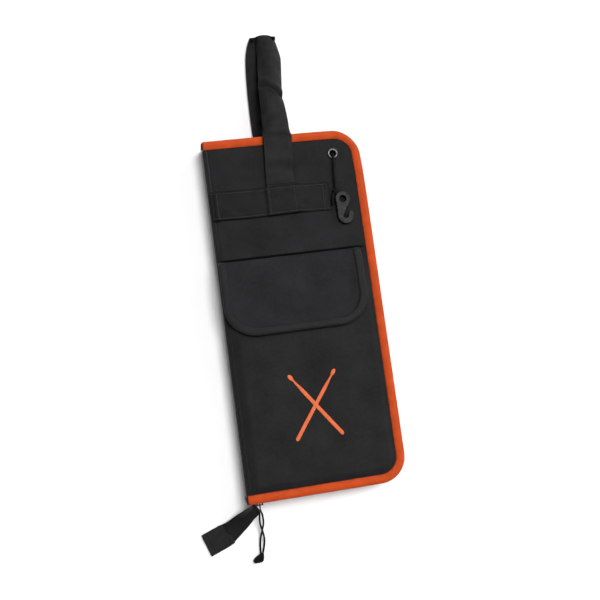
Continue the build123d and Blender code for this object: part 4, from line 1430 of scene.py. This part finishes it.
def hook_knots(side):
    """Knot beside the hook's ring with its short tail, and the stop knot behind the eyelet."""
    face, out = panel_side(side)
    level = face + out * HOOK_LEVEL
    centre = Vector((*at(0.1672, 0.3862).xy, level))
    knot(f"{side}_ring_knot_cord", centre, (0.0090, 0.0078, 0.0040), math.radians(-35), 0.0014,
         f"{side}_hook", f"{side}_ring_knot")
    route = catmull([(0.1654, 0.3848), (0.1634, 0.3806), (0.1622, 0.3750), (0.1616, 0.3690)], 5)
    route = [Vector((*at(x, y).xy, level)) for x, y in route]
    tail = tube(f"{side}_knot_tail", route, CORD_R * 0.92, MAT["cord"], sides=12)
    finish_piece(tail, f"{side}_hook", "cord")
    stop = Vector((EYELET.x, EYELET.y, face - out * 0.0080))
    knot(f"{side}_stop_knot_cord", stop, (0.0094, 0.0092, 0.0054), 0.4, 0.0014,
         f"{side}_hook", f"{side}_stop_knot")


# Floor, light and the whole bag


def stage():
    size = 6.0
    mesh = bpy.data.meshes.new("floor")
    mesh.from_pydata([(-size, -size, FLOOR), (size, -size, FLOOR), (size, size, FLOOR), (-size, size, FLOOR)],
                     [], [(0, 1, 2, 3)])
    floor = link("floor", mesh)
    n = Nodes("pale_floor")
    grain = n.noise(n.place(False), 0.05, 3)
    n.set(Base_Color=n.ramp(grain, [(0.3, (0.90, 0.90, 0.90)), (0.7, (0.92, 0.92, 0.92))]), Roughness=0.9)
    n.set(Specular_IOR_Level=0.1)
    mesh.materials.append(n.material)
    backdrop()


def backdrop():
    """White dome far round the floor.  It is only seen, and neither lights the bag nor shades it."""
    mesh = bpy.data.meshes.new("backdrop")
    work = bmesh.new()
    bmesh.ops.create_icosphere(work, subdivisions=4, radius=5.5)
    work.to_mesh(mesh)
    work.free()
    n = Nodes("backdrop_white")
    n.set(Base_Color=(0, 0, 0, 1), Emission_Color=(1, 1, 1, 1), Emission_Strength=1.0, Specular_IOR_Level=0.0)
    mesh.materials.append(n.material)
    dome = link("backdrop", mesh)
    for ray in ("visible_shadow", "visible_diffuse", "visible_glossy", "visible_transmission"):
        setattr(dome, ray, False)


def sun_light(name, direction, spread_angle, power):
    data = bpy.data.lights.new(name, "SUN")
    data.energy = power
    data.angle = math.radians(spread_angle)
    link(name, data).rotation_euler = Vector(direction).to_track_quat("-Z", "Y").to_euler()


def lights():
    world = bpy.data.worlds.new("studio")
    world.use_nodes = True
    world.node_tree.nodes["Background"].inputs[0].default_value = (1, 1, 1, 1)
    world.node_tree.nodes["Background"].inputs[1].default_value = 0.25
    bpy.context.scene.world = world
    bpy.context.scene.view_settings.view_transform = "Standard"
    sun_light("key", (-0.20, -0.24, -1.0), spread_angle=26, power=2.9)
    sun_light("side", (-1.0, -0.5, -0.55), spread_angle=30, power=1.2)


camera()
CORDS = [elastic_cord("front"), elastic_cord("back")]
STRANDS = [pull_strand("a", STRAND_A), pull_strand("b", STRAND_B)]
MAT = make_materials()
for cord_piece, _ in CORDS + STRANDS:
    cord_piece.data.materials.append(MAT["cord"])
for face_side in ("front", "back"):
    wrapped_panel(face_side)
    lining_cloth(face_side)
    binding(face_side)
    zip_tape(face_side)
    eyelet(face_side)
    band(face_side)
    hook_knots(face_side)
    bevelled(f"{face_side}_tom_hook", MAT["hook"], 0.0009, 4)
    bevelled(f"{face_side}_foam", MAT["foam"], 0.0006)
bevelled("spine_foam", MAT["foam"], 0.0006)
spine_ends()
handle_front()
handle_back()
pocket()
flap()
motif()
stick_pocket()
zip_tail()
end_tab()
bevelled("zip_slider", MAT["slider"], 0.0004)
bevelled("zip_pull_tab", MAT["slider"], 0.0003)
knot("pull_knot_cord", at(0.0080, -0.0752, -0.0022), (0.0180, 0.0116, 0.0068), math.radians(35), 0.0018,
     "pull", "zip_pull_knot")
stage()
lights()
